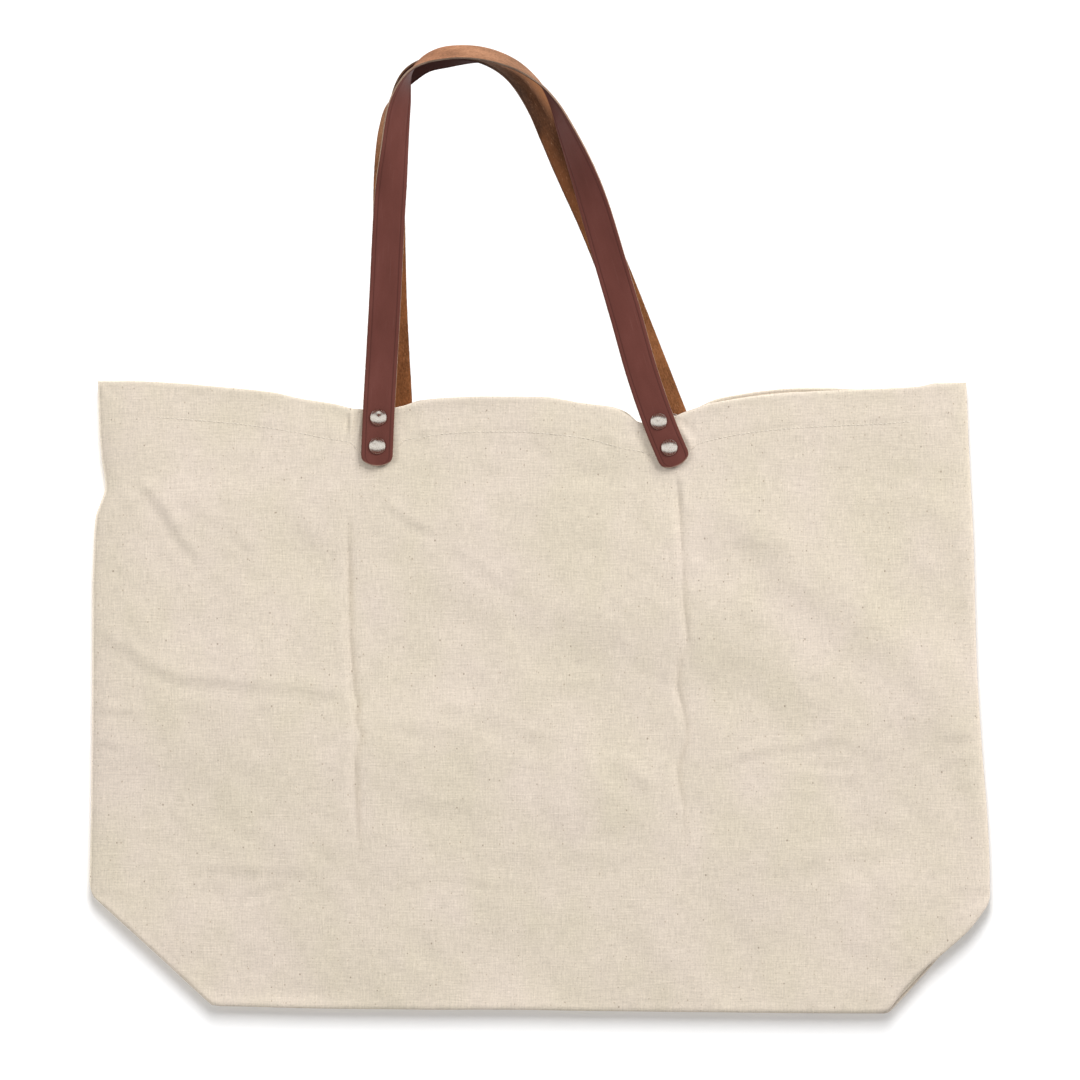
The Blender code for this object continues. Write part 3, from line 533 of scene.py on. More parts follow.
def nickel_material():
    """Plated rivet: bright, with hairline scratches and a few dull spots."""
    g = Graph("nickel_plate")
    uv = g.uv()
    hair = g.noise(g.scaled(uv, 260.0, 5200.0), 1.0, 3.0, 0.7)
    hair2 = g.noise(g.scaled(uv, 4300.0, 330.0, shift=(3, 1, 0)), 1.0, 3.0, 0.7)
    spots = g.noise(g.scaled(uv, 900.0, 900.0, shift=(1, 8, 0)), 1.0, 3.0, 0.6)
    marks = g.math("MULTIPLY_ADD", hair, 0.5, g.math("MULTIPLY", hair2, 0.5))
    g.put(g.bsdf.inputs["Base Color"], g.ramp(spots, ((0.35, (0.66, 0.60, 0.54)), (0.6, (0.86, 0.82, 0.77)))))
    g.bsdf.inputs["Metallic"].default_value = 1.0
    g.put(g.bsdf.inputs["Roughness"], g.math("MULTIPLY_ADD", marks, 0.22, g.math("MULTIPLY_ADD", spots, 0.22, 0.06)))
    g.put(g.bsdf.inputs["Normal"], g.bump(marks, 0.12, 0.00008))
    return g.mat


canvas = canvas_material("canvas_front")
canvas_back = canvas_material("canvas_back", 0.99, 0.613)
canvas_inside = canvas_material("canvas_inside", 0.97, 0.327)
thread = thread_material("thread_cotton")
# the face shade stops are painted shade where each strap's brown face turns down at the top of the handle
leather_front = leather_material("leather_face_front", ((0.39, 1.0), (0.42, 0.45), (0.53, 0.45), (0.585, 0.9), (0.62, 1.0)))
leather_back = leather_material("leather_face_back", ((0.33, 1.0), (0.37, 0.42), (0.43, 0.36), (0.48, 0.36), (0.56, 1.0)))
# the suede tones paint shade: darker on the legs and where one handle lies under the other
suede_front = suede_material("leather_suede_front", ((0.30, (0.165, 0.066, 0.026)), (0.395, (0.31, 0.130, 0.066)), (0.46, (0.345, 0.168, 0.092)), (0.53, (0.275, 0.142, 0.082)), (0.66, (0.165, 0.066, 0.026))))
suede_back = suede_material("leather_suede_back", ((0.20, (0.225, 0.085, 0.032)), (0.34, (0.27, 0.130, 0.068)), (0.455, (0.085, 0.042, 0.026)), (0.52, (0.092, 0.047, 0.030)), (0.575, (0.066, 0.027, 0.013)), (0.64, (0.094, 0.034, 0.014)), (0.76, (0.265, 0.108, 0.044))), True)
# the front edge's last stops are painted shade where the edge turns down at the top of the handle
edge_front = raw_edge_material("leather_edge_front", ((0.175, 0.108, 0.077), (0.34, 0.225, 0.162), (0.52, 0.385, 0.29)), ((0.37, 1.0), (0.42, 0.45), (0.51, 0.45), (0.57, 1.0)))
# the back edge's tones are darker than the front's, same leather: painted shade on the handle that lies behind
edge_back = raw_edge_material("leather_edge_back", ((0.060, 0.032, 0.020), (0.120, 0.066, 0.040), (0.230, 0.140, 0.090)))
nickel = nickel_material()


# ---------------------------------------------------------------- strap geometry, as in the CAD
def curve(line, t):
    """Centripetal Catmull-Rom through a centre line's stations. Returns (x, z, turn)."""
    n = len(line)
    i = min(n - 2, max(0, int(t)))
    f = t - i
    p1, p2 = line[i], line[i + 1]
    p0 = line[i - 1] if i > 0 else tuple(2 * a - b for a, b in zip(p1, p2))
    p3 = line[i + 2] if i + 2 < n else tuple(2 * b - a for a, b in zip(p1, p2))
    d01 = math.dist(p0[:2], p1[:2]) ** 0.5
    d12 = math.dist(p1[:2], p2[:2]) ** 0.5
    d23 = math.dist(p2[:2], p3[:2]) ** 0.5
    t0, t1 = 0.0, d01
    t2, t3 = d01 + d12, d01 + d12 + d23
    u = t1 + (t2 - t1) * f
    out = []
    for a, b, c, d in zip(p0, p1, p2, p3):
        ab = a * (t1 - u) / (t1 - t0) + b * (u - t0) / (t1 - t0)
        bc = b * (t2 - u) / (t2 - t1) + c * (u - t1) / (t2 - t1)
        cd = c * (t3 - u) / (t3 - t2) + d * (u - t2) / (t3 - t2)
        abc = ab * (t2 - u) / (t2 - t0) + bc * (u - t0) / (t2 - t0)
        bcd = bc * (t3 - u) / (t3 - t1) + cd * (u - t1) / (t3 - t1)
        out.append(abc * (t2 - u) / (t2 - t1) + bcd * (u - t1) / (t2 - t1))
    return out


def strap_depth(z, back):
    lean = float(smooth((z - BEND_Z - 4.0) / (LEAN_END_Z - BEND_Z - 4.0)))
    return STRAP_Y + BACK_LEAN * lean if back else -STRAP_Y + FRONT_LEAN * lean


def strap_table(line, back, steps=900):
    rows, total, last = [], 0.0, None
    for i in range(steps + 1):
        x, z, turn = curve(line, (len(line) - 1) * i / steps)
        p = Vector((x, strap_depth(z, back), z))
        if last is not None:
            total += (p - last).length
        rows.append((total, p, turn))
        last = p
    return rows


def strap_at(rows, s):
    s = min(rows[-1][0], max(0.0, s))
    lo, hi = 0, len(rows) - 1
    while hi - lo > 1:
        mid = (lo + hi) // 2
        if rows[mid][0] <= s:
            lo = mid
        else:
            hi = mid
    (s0, p0, a0), (s1, p1, a1) = rows[lo], rows[hi]
    f = (s - s0) / max(1e-9, s1 - s0)
    return p0.lerp(p1, f), a0 + (a1 - a0) * f


def strap_frame(rows, s):
    """Centre, direction along, direction across and outward normal of the brown face at distance s."""
    p, turn = strap_at(rows, s)
    t = (strap_at(rows, s + 1.5)[0] - strap_at(rows, s - 1.5)[0]).normalized()
    front = Vector((0, -1, 0))
    front = (front - t * front.dot(t)).normalized()
    inward = t.cross(front)
    c, d = math.cos(math.radians(turn)), math.sin(math.radians(turn))
    return p, t, inward * c - front * d, front * c + inward * d


STRAPS = {}
for side_name, centre_line, is_back in (("front", FRONT_LINE, False), ("back", BACK_LINE, True)):
    rows = strap_table(centre_line, is_back)
    flat_rows = strap_table(centre_line, False)
    rivets = []
    for end in (0, 1):
        for up in RIVET_UP:
            q, _ = strap_at(flat_rows, up if end == 0 else flat_rows[-1][0] - up)
            rivets.append((q.x, q.z))
    STRAPS[side_name] = (rows, rivets)


# ---------------------------------------------------------------- the cloth's relief
def wave(x, z, line, height, width, kind="ridge", wander=0.0, ends=(0.12, 0.12), seed=3):
    """Relief of one crease along a polyline, fading towards its ends."""
    pts = np.array(line, float)
    m = 4 * width + 6
    box = (x > pts[:, 0].min() - m) & (x < pts[:, 0].max() + m) & (z > pts[:, 1].min() - m) & (z < pts[:, 1].max() + m)
    out = np.zeros_like(x)
    if not box.any():
        return out
    xb, zb = x[box], z[box]
    s, t = to_line(xb, zb, line)
    s = s + wander * noise(xb, zb, 14.0, seed)
    fade = smooth(t / max(1e-6, ends[0])) * smooth((1 - t) / max(1e-6, ends[1]))
    k = RELIEF * height * fade * (0.8 + 0.35 * noise(xb, zb, 18.0, seed + 1))
    if kind == "ridge":
        f = np.exp(-((s / width) ** 2))
    elif kind == "sharp":
        f = 1 / (1 + (np.abs(s) / (0.5 * width)) ** 1.7)
        f = f - 0.25 * np.exp(-((s / (2.4 * width)) ** 2))
    elif kind == "step":  # rises on the left of the line, drops on its right
        f = (s / width) * np.exp(-((s / width) ** 2)) * 2.0
    elif kind == "pair":  # a ridge with a valley on its right
        f = np.exp(-(((s - 0.6 * width) / width) ** 2)) - 0.8 * np.exp(-(((s + 0.9 * width) / width) ** 2))
    elif kind == "vfold":  # a pressed valley, a little steeper on the side left of the line's direction
        a = np.sqrt(s ** 2 + 0.2 ** 2) - 0.2
        f = -np.exp(-a / np.where(s > 0, 1.4 * width, 2.1 * width)) * (0.75 + 0.45 * noise(xb, zb, 26.0, seed + 2))
        f = f + 0.22 * np.exp(-(((s + 3.6 * width) / (2.2 * width)) ** 2))
    else:  # "fold": a crisp crest, steep on its right and long on its left, with a slight hollow at its foot
        a = np.sqrt(s ** 2 + 0.45 ** 2) - 0.45
        w = np.where(s > 0, 2.3 * width, 0.8 * width)
        f = np.exp(-a / w) - 0.55 * np.exp(-(((s + 2.2 * width) / (1.3 * width)) ** 2))
    out[box] = k * f
    return out


CREASES = (
    # pulled folds under the hem, left
    (((-258, 343), (-248, 334), (-238, 322), (-226, 302), (-218, 292), (-210, 282)), 1.55, 2.6, "fold", 0.7, (0.2, 0.25)),
    (((-268, 322), (-258, 327), (-250, 334), (-243, 337)), 0.9, 2.0, "fold", 0.4, (0.3, 0.3)),
    (((-199, 312), (-188, 301), (-178, 291)), 0.7, 2.0, "fold", 0.4, (0.3, 0.3)),
    (((-246, 300), (-236, 288), (-222, 276)), 0.6, 4.0, "pair", 0.6, (0.3, 0.3)),
    (((-232, 330), (-214, 318), (-196, 309)), 0.45, 4.0, "pair", 0.9, (0.3, 0.3)),
    # from the left strap into the middle
    (((-106, 330), (-92, 322), (-76, 312), (-60, 304)), 1.0, 2.2, "fold", 0.5, (0.3, 0.3)),
    (((-60, 303), (-40, 288), (-18, 273), (3, 261)), 0.75, 3.4, "fold", 1.2, (0.2, 0.3)),
    (((-40, 322), (-24, 308), (-12, 300)), 0.4, 5.0, "ridge", 1.0, (0.3, 0.3)),
    # the two vertical packing folds
    (((-122.2, 326), (-121.9, 300), (-121.4, 262), (-120.5, 236), (-118.6, 212), (-118.0, 204), (-116.2, 198), (-117.4, 190), (-117.0, 184), (-113.6, 178), (-115.8, 172), (-117.6, 164), (-117.8, 154), (-117.0, 130), (-115.2, 84)), 2.0, 1.55, "vfold", 0.25, (0.10, 0.35)),
    (((86.6, 345), (88.6, 318), (90.4, 290), (91.0, 262), (93.2, 244), (93.4, 236), (88.4, 228), (86.6, 210), (89.6, 198), (91.6, 188), (92.4, 176), (89.4, 168), (86.8, 158), (87.6, 146), (90.6, 136), (91.0, 110), (91.0, 80)), 1.25, 1.4, "vfold", 0.25, (0.10, 0.35)),
    # cross folds
    (((-282, 246), (-262, 234), (-248, 223), (-232, 216.5), (-202, 213.4), (-160, 209.6), (-121, 203.5)), 0.95, 3.4, "fold", 1.0, (0.08, 0.12)),
    (((-285, 195), (-268, 194.6), (-249, 192.5)), 0.8, 2.0, "fold", 0.5, (0.05, 0.35)),
    (((-285, 173), (-274, 172.6), (-262, 170.5)), 0.6, 1.8, "fold", 0.5, (0.05, 0.35)),
    (((-199, 168), (-195.2, 162), (-199, 150), (-211, 133)), 0.75, 1.5, "fold", 0.3, (0.2, 0.3)),
    (((-76, 196), (-41, 194), (2, 180), (22, 172)), 0.6, 5.0, "fold", 1.2, (0.25, 0.25)),
    (((-110, 185), (-70, 181), (-28, 177)), 0.5, 5.0, "pair", 1.0, (0.25, 0.3)),
    (((-12, 209), (20, 211), (54, 210)), 0.5, 5.0, "fold", 1.0, (0.25, 0.25)),
    (((38, 168), (55, 157.5), (77, 144)), 0.7, 5.0, "fold", 0.8, (0.3, 0.25)),
    (((96, 318), (140, 292), (187, 258), (253, 215)), 1.5, 15.0, "pair", 3.0, (0.25, 0.25)),
    (((110, 161), (136, 168), (165, 172.4), (190, 176), (203, 169), (206, 161)), 0.8, 2.6, "fold", 0.5, (0.15, 0.3)),
    (((206, 163), (198, 154), (178, 154), (153, 159)), 0.55, 2.6, "pair", 0.5, (0.3, 0.3)),
    (((250, 175), (266, 178), (281, 179.5)), 0.8, 2.4, "fold", 0.4, (0.35, 0.05)),
    (((256, 159), (268, 163.5), (282, 166)), 0.7, 2.0, "fold", 0.4, (0.35, 0.05)),
    (((264, 141), (273, 147), (284, 150.5)), 0.6, 1.8, "fold", 0.4, (0.35, 0.05)),
    (((-232, 93), (-196, 93.5), (-160, 92), (-119, 91)), 0.5, 2.2, "fold", 0.8, (0.25, 0.25)),
    (((-195, 72), (-177, 80), (-160, 86)), 0.5, 3.0, "pair", 0.5, (0.3, 0.3)),
    (((-52, 96), (20, 99), (82, 95)), 0.4, 7.0, "pair", 1.2, (0.3, 0.3)),
    (((120, 92), (170, 96), (236, 104)), 0.5, 7.0, "pair", 1.5, (0.3, 0.3)),
    (((-96, 140), (-60, 132), (-20, 137)), 0.4, 7.0, "pair", 1.5, (0.3, 0.3)),
    (((-112, 84), (-60, 88), (-20, 84), (10, 86)), 0.4, 2.6, "fold", 1.0, (0.3, 0.3)),
    # gathers where the straps pull
    (((-120.8, 385), (-121.0, 376), (-121.6, 366)), 1.1, 1.6, "pair", 0.1, (0.1, 0.4)),
    (((-113.6, 384), (-115.4, 374), (-117.8, 363)), 0.9, 1.5, "pair", 0.1, (0.1, 0.4)),
    (((-89.6, 361), (-90.2, 373), (-90.9, 386)), 1.0, 2.0, "pair", 0.1, (0.35, 0.1)),
    (((62.4, 374), (67, 366), (72, 358), (77, 350)), 1.3, 2.6, "pair", 0.1, (0.1, 0.4)),
    (((101, 358), (94, 369), (84, 379)), 1.2, 2.4, "pair", 0.1, (0.35, 0.1)),
    (((36, 372), (46, 362), (52, 350)), 0.6, 3.2, "pair", 0.4, (0.3, 0.4)),
    (((-134, 380), (-133, 366), (-130, 352)), 0.5, 2.6, "pair", 0.4, (0.2, 0.4)),
    (((-78, 386), (-76, 372), (-70, 356)), 0.5, 2.8, "pair", 0.4, (0.2, 0.4)),
    (((88, 346), (90, 330), (89, 316)), 0.6, 2.6, "pair", 0.4, (0.3, 0.4)),
)


def hem_line(x, back):
    """Height of the sewing line under the top edge: a gentler curve than the edge itself."""
    z = sum(top_height(x + d, back) for d in (-21.0, -14.0, -7.0, 0.0, 7.0, 14.0, 21.0)) / 7 - STITCH_DOWN
    for rx, rz in STRAPS["back" if back else "front"][1][0::2]:
        near = np.clip(1 - np.abs(x - rx) / 18.0, 0, 1)
        z = np.where(np.abs(z - rz) < 6.5, z + (rz - 6.5 - z) * smooth(near * 1.8), z)
    return z


def top_height(x, back):
    z = table(FRONT_TOP, x)
    return z + table(BACK_TOP_RISE, x) if back else z


def relief(x, z, back, settled=None):
    """How far the cloth stands out from its plain folded shape, in millimetres."""
    h = np.zeros_like(x)
    quiet = smooth((x + 286) / 22) * smooth((286 - x) / 22)
    if not back:
        for line, height, width, kind, wander, ends in CREASES:
            seed = 11 + int(abs(line[0][0]) + line[0][1]) % 40
            h += wave(x, z, line, height, width, kind, wander, ends, seed)
        h += -0.9 * bump(x, -3, 11) * bump(z, 357, 9) - 0.7 * bump(x, 33, 16) * bump(z, 343, 6)
    else:
        for line, height, width, kind, wander, ends in CREASES[8:10] + CREASES[14:17] + CREASES[24:30]:
            mirrored = [(-px * 0.93 + 9, pz * 0.96 + 14) for px, pz in line]
            h += wave(x, z, mirrored, height, width, kind, wander, ends, 71)
        for line, height, width, kind, wander, ends in CREASES[30:]:
            moved = [(px + (13 if px < 0 else 9), pz) for px, pz in line]
            h += wave(x, z, moved, height, width, kind, wander, ends, 83)
    s = 40 if back else 0
    below = smooth((362 - z) / 40)
    h += quiet * below * (1.1 * noise(x, z, (95, 70), 21 + s) + 0.75 * noise(x, z, (44, 36), 22 + s) + 0.34 * noise(x + 0.5 * z, z, (17, 21), 23 + s))
    h += 0.14 * noise(x, z, (8, 9), 24 + s) + 0.05 * noise(x, z, 3.4, 25 + s)
    # puckers along the hem's sewing line, and the line's own furrow
    line = hem_line(x, back)
    d = z - line
    h += -0.20 * np.exp(-((d / 1.3) ** 2)) + 0.16 * np.exp(-(((d - 3.6) / 2.6) ** 2))
    h += 0.24 * noise(x, z, (6.5, 26), 26 + s) * np.exp(-((d / 7.0) ** 2)) + 0.35 * noise(x, z, (30, 60), 27 + s) * smooth((d + 14) / 14)
    if settled is not None:
        h += settled(x, z)
    return h


def half_depth(x, z, feet, top):
    """Outer half depth: full in the middle, closing towards the side seams."""
    full = BELLY + (HEM_HALF - BELLY) * smooth((z - 322) / 24)
    best = np.full_like(x, 1e9)
    for edge in (LEFT_EDGE, RIGHT_EDGE):
        foot = edge[0][0]
        e = table(edge, z)
        d = np.where(z >= foot, np.abs(x - e), np.hypot(x - edge[0][1], z - foot))
        best = np.minimum(best, d)
    d = np.clip(best / PINCH, 0, 1)
    return 1.15 + (full - 1.15) * np.sqrt(np.clip(1 - (1 - d) ** 2, 0, 1)), best


def arc_points(line, count):
    """Points at equal steps along a smoothed polyline."""
    pts = np.array(line, float)
    fine = []
    n = len(pts)
    for i in range(n - 1):
        p0 = pts[i - 1] if i else 2 * pts[0] - pts[1]
        p3 = pts[i + 2] if i + 2 < n else 2 * pts[-1] - pts[-2]
        for f in np.linspace(0, 1, 12, endpoint=False):
            a = 0.5 * (2 * pts[i] + (pts[i + 1] - p0) * f + (2 * p0 - 5 * pts[i] + 4 * pts[i + 1] - p3) * f * f + (3 * pts[i] - p0 - 3 * pts[i + 1] + p3) * f ** 3)
            fine.append(a)
    fine.append(pts[-1])
    fine = np.array(fine)
    s = np.concatenate([[0], np.cumsum(np.hypot(*np.diff(fine, axis=0).T))])
    t = np.linspace(0, s[-1], count)
    return np.column_stack([np.interp(t, s, fine[:, 0]), np.interp(t, s, fine[:, 1])])


RIM = (0.0, 0.12, 0.4, 0.85, 1.5, 2.4, 3.6)  # the first rows of points in from any edge


def side_points(low, edge, top, low_rows, rows):
    """Outline points of one side, foot to top corner."""
    lower = arc_points(list(low) + [(edge[0][1], edge[0][0])], low_rows)
    zs = np.linspace(edge[0][0], top, rows - low_rows + 1)[1:]
    return np.vstack([lower, np.column_stack([table(edge, zs), zs])])


def spread(count, length, fine=()):
    """Shares 0..1 with the RIM spacing at both ends, closer together round the `fine` places (share, half width)."""
    a = np.array(RIM) / length
    t = np.linspace(a[-1], 1 - a[-1], 4000)
    density = np.ones_like(t)
    for at, half in fine:
        density += 3.2 * np.exp(-(((t - at) / half) ** 4))
    share = np.concatenate([[0], np.cumsum((density[1:] + density[:-1]) / 2)])
    inner = np.interp(np.linspace(0, share[-1], count - 2 * len(a) + 2), share, t)[1:-1]
    return np.concatenate([a, inner, (1 - a)[::-1]])


def panel_grid(back, cols, rows):
    """(x, z) of a panel's points, from the bottom fold to the mouth, evened over its outline."""
    low_right = RIGHT_LOW_BACK if back else RIGHT_LOW_FRONT
    zl, zr = float(top_height(np.array(-281.0), back)), float(top_height(np.array(271.0), back))
    fine = 1200
    left = side_points(LEFT_LOW, LEFT_EDGE, zl, 320, fine)
    right = side_points(low_right, RIGHT_EDGE, zr, 320, fine)
    v = spread(rows, 410.0)
    u = spread(cols, 560.0, () if back else ((0.2945, 0.014), (0.665, 0.016)))
    k = v * (fine - 1)
    L = np.column_stack([np.interp(k, np.arange(fine), left[:, i]) for i in (0, 1)])
    R = np.column_stack([np.interp(k, np.arange(fine), right[:, i]) for i in (0, 1)])
    P = L[:, None, :] * (1 - u)[None, :, None] + R[:, None, :] * u[None, :, None]
    xt = L[-1, 0] * (1 - u) + R[-1, 0] * u
    T = np.column_stack([xt, top_height(xt, back)])
    xb = L[0, 0] * (1 - u) + R[0, 0] * u
    B = np.column_stack([xb, (L[0, 1] * (1 - u) + R[0, 1] * u) - 0.5 * np.sin(np.pi * u) + 0.35 * noise(xb, xb * 0, 60.0, 5)])
    lin_t = L[-1][None, :] * (1 - u)[:, None] + R[-1][None, :] * u[:, None]
    lin_b = L[0][None, :] * (1 - u)[:, None] + R[0][None, :] * u[:, None]
    w = v ** 1.8
    P += w[:, None, None] * (T - lin_t)[None, :, :] + ((1 - v) ** 3)[:, None, None] * (B - lin_b)[None, :, :]
    return P[..., 0], P[..., 1], u, v


def outline_distance(x, z, X, Z):
    """Distance from points to a grid's outline and which kind of edge is nearest (side seam 0, fold 1, mouth 2)."""
    loops = ((np.column_stack([X[:, 0], Z[:, 0]]), None), (np.column_stack([X[:, -1], Z[:, -1]]), None), (np.column_stack([X[0], Z[0]]), 1), (np.column_stack([X[-1], Z[-1]]), 2))
    best = np.full(x.shape, 1e9)
    kind = np.zeros(x.shape)
    for pts, what in loops:
        step = max(1, len(pts) // 70)
        keep = np.unique(np.concatenate([np.arange(0, len(pts), step), np.arange(min(12, len(pts))), np.arange(max(0, len(pts) - 12), len(pts))]))
        d, _ = to_line(x, z, pts[keep])
        d = np.abs(d)
        near = d < best
        best = np.where(near, d, best)
        kind = np.where(near, what if what is not None else np.where(z < 78, 1, 0), kind)
    return best, kind


def panel(name, back, cols, rows, settled=None):
    side = 1.0 if back else -1.0
    X, Z, u, v = panel_grid(back, cols, rows)
    x, z = X.ravel(), Z.ravel()
    depth, seam = half_depth(x, z, None, None)
    d, kind = outline_distance(x, z, X, Z)
    h = relief(x, z, back, settled)
    h *= np.where((h < 0) & (kind == 0), smooth(d / 15.0), smooth(d / 9.0)) * 0.92 + 0.08
    h = np.clip(h, -4.0, 3.4)
    h = np.minimum(h, 2.6 * smooth(seam / 26) + 0.5)
    # a sewn edge is thin and closes on the mid plane, a folded one is two plies thick and round
    folded = smooth((76 - z) / 8) * (kind == 1) + (kind == 1) * (z < 60) * (1 - smooth((76 - z) / 8))
    mouth = (kind == 2).astype(float)
    radius = 0.55 + 1.0 * np.maximum(folded, mouth * smooth(seam / 8))
    thick = CANVAS + 0.15 + (2 * radius - CANVAS - 0.15) * np.exp(-((d / 3.2) ** 2))
    roll = np.where(d < radius, radius - np.sqrt(np.clip(radius ** 2 - (radius - d) ** 2, 0, None)), 0.0)
    swell = 0.30 * np.exp(-(((d - 2.6) / 1.7) ** 2)) * np.maximum(folded, 0.7 * mouth)
    outer = depth + h + swell - roll
    inner = depth + h - thick + roll
    plump = 1.25 * (1 - np.exp(-seam / 0.75)) * np.exp(-seam / 13.0) * (kind == 0)
    closing = smooth((1.3 - seam) / 1.3) * (kind == 0)
    outer = (outer + plump) * (1 - closing) + closing * (1.15 - roll + 0.08 * noise(x, z, (10, 14), 61))
    outer = np.maximum(outer, 0.55 + 0.5 * smooth(seam / 6) - roll * (d < radius))
    inner = np.maximum(np.minimum(inner + 0.6 * plump, outer - 0.35), 0.08)
    inner = np.minimum(inner, outer)
    mid = (outer + inner) / 2
    rim = np.zeros(X.shape, bool)
    rim[0, :] = rim[-1, :] = True
    rim[:, 0] = rim[:, -1] = True
    rim = rim.ravel()
    outer = np.where(rim, mid, outer)
    inner = np.where(rim, mid, inner)
    n = len(x)
    verts = np.vstack([np.column_stack([x, side * outer, z]), np.column_stack([x, side * inner, z])])
    R, C = X.shape
    a = grid_faces(R, C, 0, flip=back)
    b = grid_faces(R, C, n, flip=not back)
    faces = np.vstack([a, b])
    # the outermost points of both skins are the same points
    remap = np.arange(2 * n)
    remap[n:][rim] = np.arange(n)[rim]
    faces = remap[faces]
    used = np.unique(faces)
    new = -np.ones(2 * n, int)
    new[used] = np.arange(len(used))
    faces = new[faces]
    verts = verts[used]
    uvs = np.column_stack([np.concatenate([x, x + 700]), np.concatenate([z, z])])[used] * MM
    marks = np.concatenate([np.zeros(len(a), int), np.ones(len(b), int)])
    o = new_object(name, verts, faces, uvs, marks, [canvas_back if back else canvas, canvas_inside])
    # painted shade along the valleys of the two vertical packing folds, stronger lower down
    soil = np.zeros(n)
    if not back:
        for (line, *_), amount in zip(CREASES[8:10], (1.0, 0.6)):
            s, t = to_line(x, z, line)
            soil += amount * np.exp(-(((s - 1.7) / 2.1) ** 2)) * smooth(t / 0.1) * smooth((1 - t) / 0.3) * np.clip(0.55 + 0.5 * noise(x, z, 34, 91), 0, 1) * (0.5 + 0.5 * smooth((232 - z) / 14))
    o.data.attributes.new("soil", "FLOAT", "POINT").data.foreach_set("value", np.concatenate([soil, soil * 0])[used].astype(np.float32))
    return o, (X, Z, (side * outer).reshape(X.shape))


def settle(seed, back):
    """A short cloth simulation of one panel: held at its outline and rivets, a little larger than its frame, it
    buckles as slack canvas does. Returns a smooth function of (x, z) giving how far it stands out, capped."""
    cols, rows = 64, 44
    X, Z = np.meshgrid(np.linspace(-285, 285, cols), np.linspace(2, 386, rows))
    Y = 0.8 * np.sin(X / 41 + Z / 57 + seed) * np.sin(Z / 37 - X / 90) + 0.5 * np.sin(X / 23 - Z / 31 + 2 * seed)
    Y += np.random.default_rng(seed).normal(0, 0.02, X.shape)
    me = bpy.data.meshes.new("settling")
    me.from_pydata((np.column_stack([X.ravel(), Y.ravel(), Z.ravel()]) * MM).tolist(), [], grid_faces(rows, cols).tolist())
    o = bpy.data.objects.new("settling", me)
    bpy.context.scene.collection.objects.link(o)
    held = (X < -284) | (X > 284) | (Z < 3) | (Z > 385)
    for rx, rz in STRAPS["back" if back else "front"][1]:
        held |= np.hypot(X - rx, Z - rz) < 12
    pins = o.vertex_groups.new(name="held")
    pins.add(np.nonzero(held.ravel())[0].tolist(), 1.0, "REPLACE")
    m = o.modifiers.new("cloth", "CLOTH")
    c = m.settings
    c.quality, c.mass = 6, 0.3
    c.tension_stiffness = c.compression_stiffness = 25.0
    c.shear_stiffness, c.bending_stiffness = 12.0, 8.0
    c.tension_damping = c.compression_damping = 15.0
    c.bending_damping, c.air_damping = 2.0, 2.0
    c.vertex_group_mass = "held"
    c.shrink_min = -0.004
    c.effector_weights.gravity = 0.0
    m.point_cache.frame_start, m.point_cache.frame_end = 1, 26
    for f in range(1, 27):
        bpy.context.scene.frame_set(f)
    e = o.evaluated_get(bpy.context.evaluated_depsgraph_get())
    y = np.array([v.co.y for v in e.to_mesh().vertices]).reshape(rows, cols) / MM
    e.to_mesh_clear()
    bpy.data.objects.remove(o)
    bpy.context.scene.frame_set(1)
    for _ in range(3):
        y = np.pad(y, 1, mode="edge")
        y = (y[:-2] + 2 * y[1:-1] + y[2:]) / 4
        y = (y[:, :-2] + 2 * y[:, 1:-1] + y[:, 2:]) / 4
    y = 2.0 * np.tanh(y / 5.0)

    def read(x, z):
        u = (np.asarray(x) + 285) / 570 * (cols - 1)
        v = (np.asarray(z) - 2) / 384 * (rows - 1)
        i, j = np.floor(v).astype(int), np.floor(u).astype(int)
        a, b = v - i, u - j

        def weights(t):
            return ((1 - t) ** 3 / 6, (3 * t ** 3 - 6 * t ** 2 + 4) / 6, (-3 * t ** 3 + 3 * t ** 2 + 3 * t + 1) / 6, t ** 3 / 6)

        total = 0.0
        for p, wp in enumerate(weights(a)):
            for q, wq in enumerate(weights(b)):
                total = total + wp * wq * y[np.clip(i + p - 1, 0, rows - 1), np.clip(j + q - 1, 0, cols - 1)]
        return total

    return read


COLS, ROWS = (285, 172)
settled_front, settled_back = ((settle(3, False), settle(6, True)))
front_panel, front_grid = panel("canvas_front_panel", False, COLS, ROWS, settled_front)
back_panel, back_grid = panel("canvas_back_panel", True, 236, 168, settled_back)
for o, node in ((front_panel, "front_panel"), (back_panel, "back_panel")):
    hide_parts(node)
    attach(o, "bag")


def surface_y(grid, x, z):
    """A panel's outer y at a point, from its nearest grid points."""
    X, Z, Y = grid
    k = np.argmin((X - x) ** 2 + (Z - z) ** 2)
    return Y.ravel()[k]


# ---------------------------------------------------------------- hems, seams and the folded bottom
def tube(name, centres, outlines, material, node, uv_step=1.0, body="bag", cap=True):
    """A closed body through sections: centres (n, 3) plus outlines (n, k, 3)."""
    pts = np.asarray(centres)[:, None, :] + np.asarray(outlines)
    n, k = pts.shape[:2]
    run = np.concatenate([[0], np.cumsum(np.linalg.norm(np.diff(pts[:, 0], axis=0), axis=1))])
    around = np.concatenate([[0], np.cumsum(np.linalg.norm(np.diff(pts[n // 2], axis=0), axis=1))])
    faces = [tuple(f) for f in ring_faces(n, k)]
    faces += [tuple(range(k))[::-1], tuple((n - 1) * k + j for j in range(k))]
    uvs = np.array([[run[i], around[j]] for i in range(n) for j in range(k)]) * MM
    o = new_object(name, pts.reshape(-1, 3), faces, uvs, None, [material])
    fix_normals(o)
    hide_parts(node)
    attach(o, body)
    return o


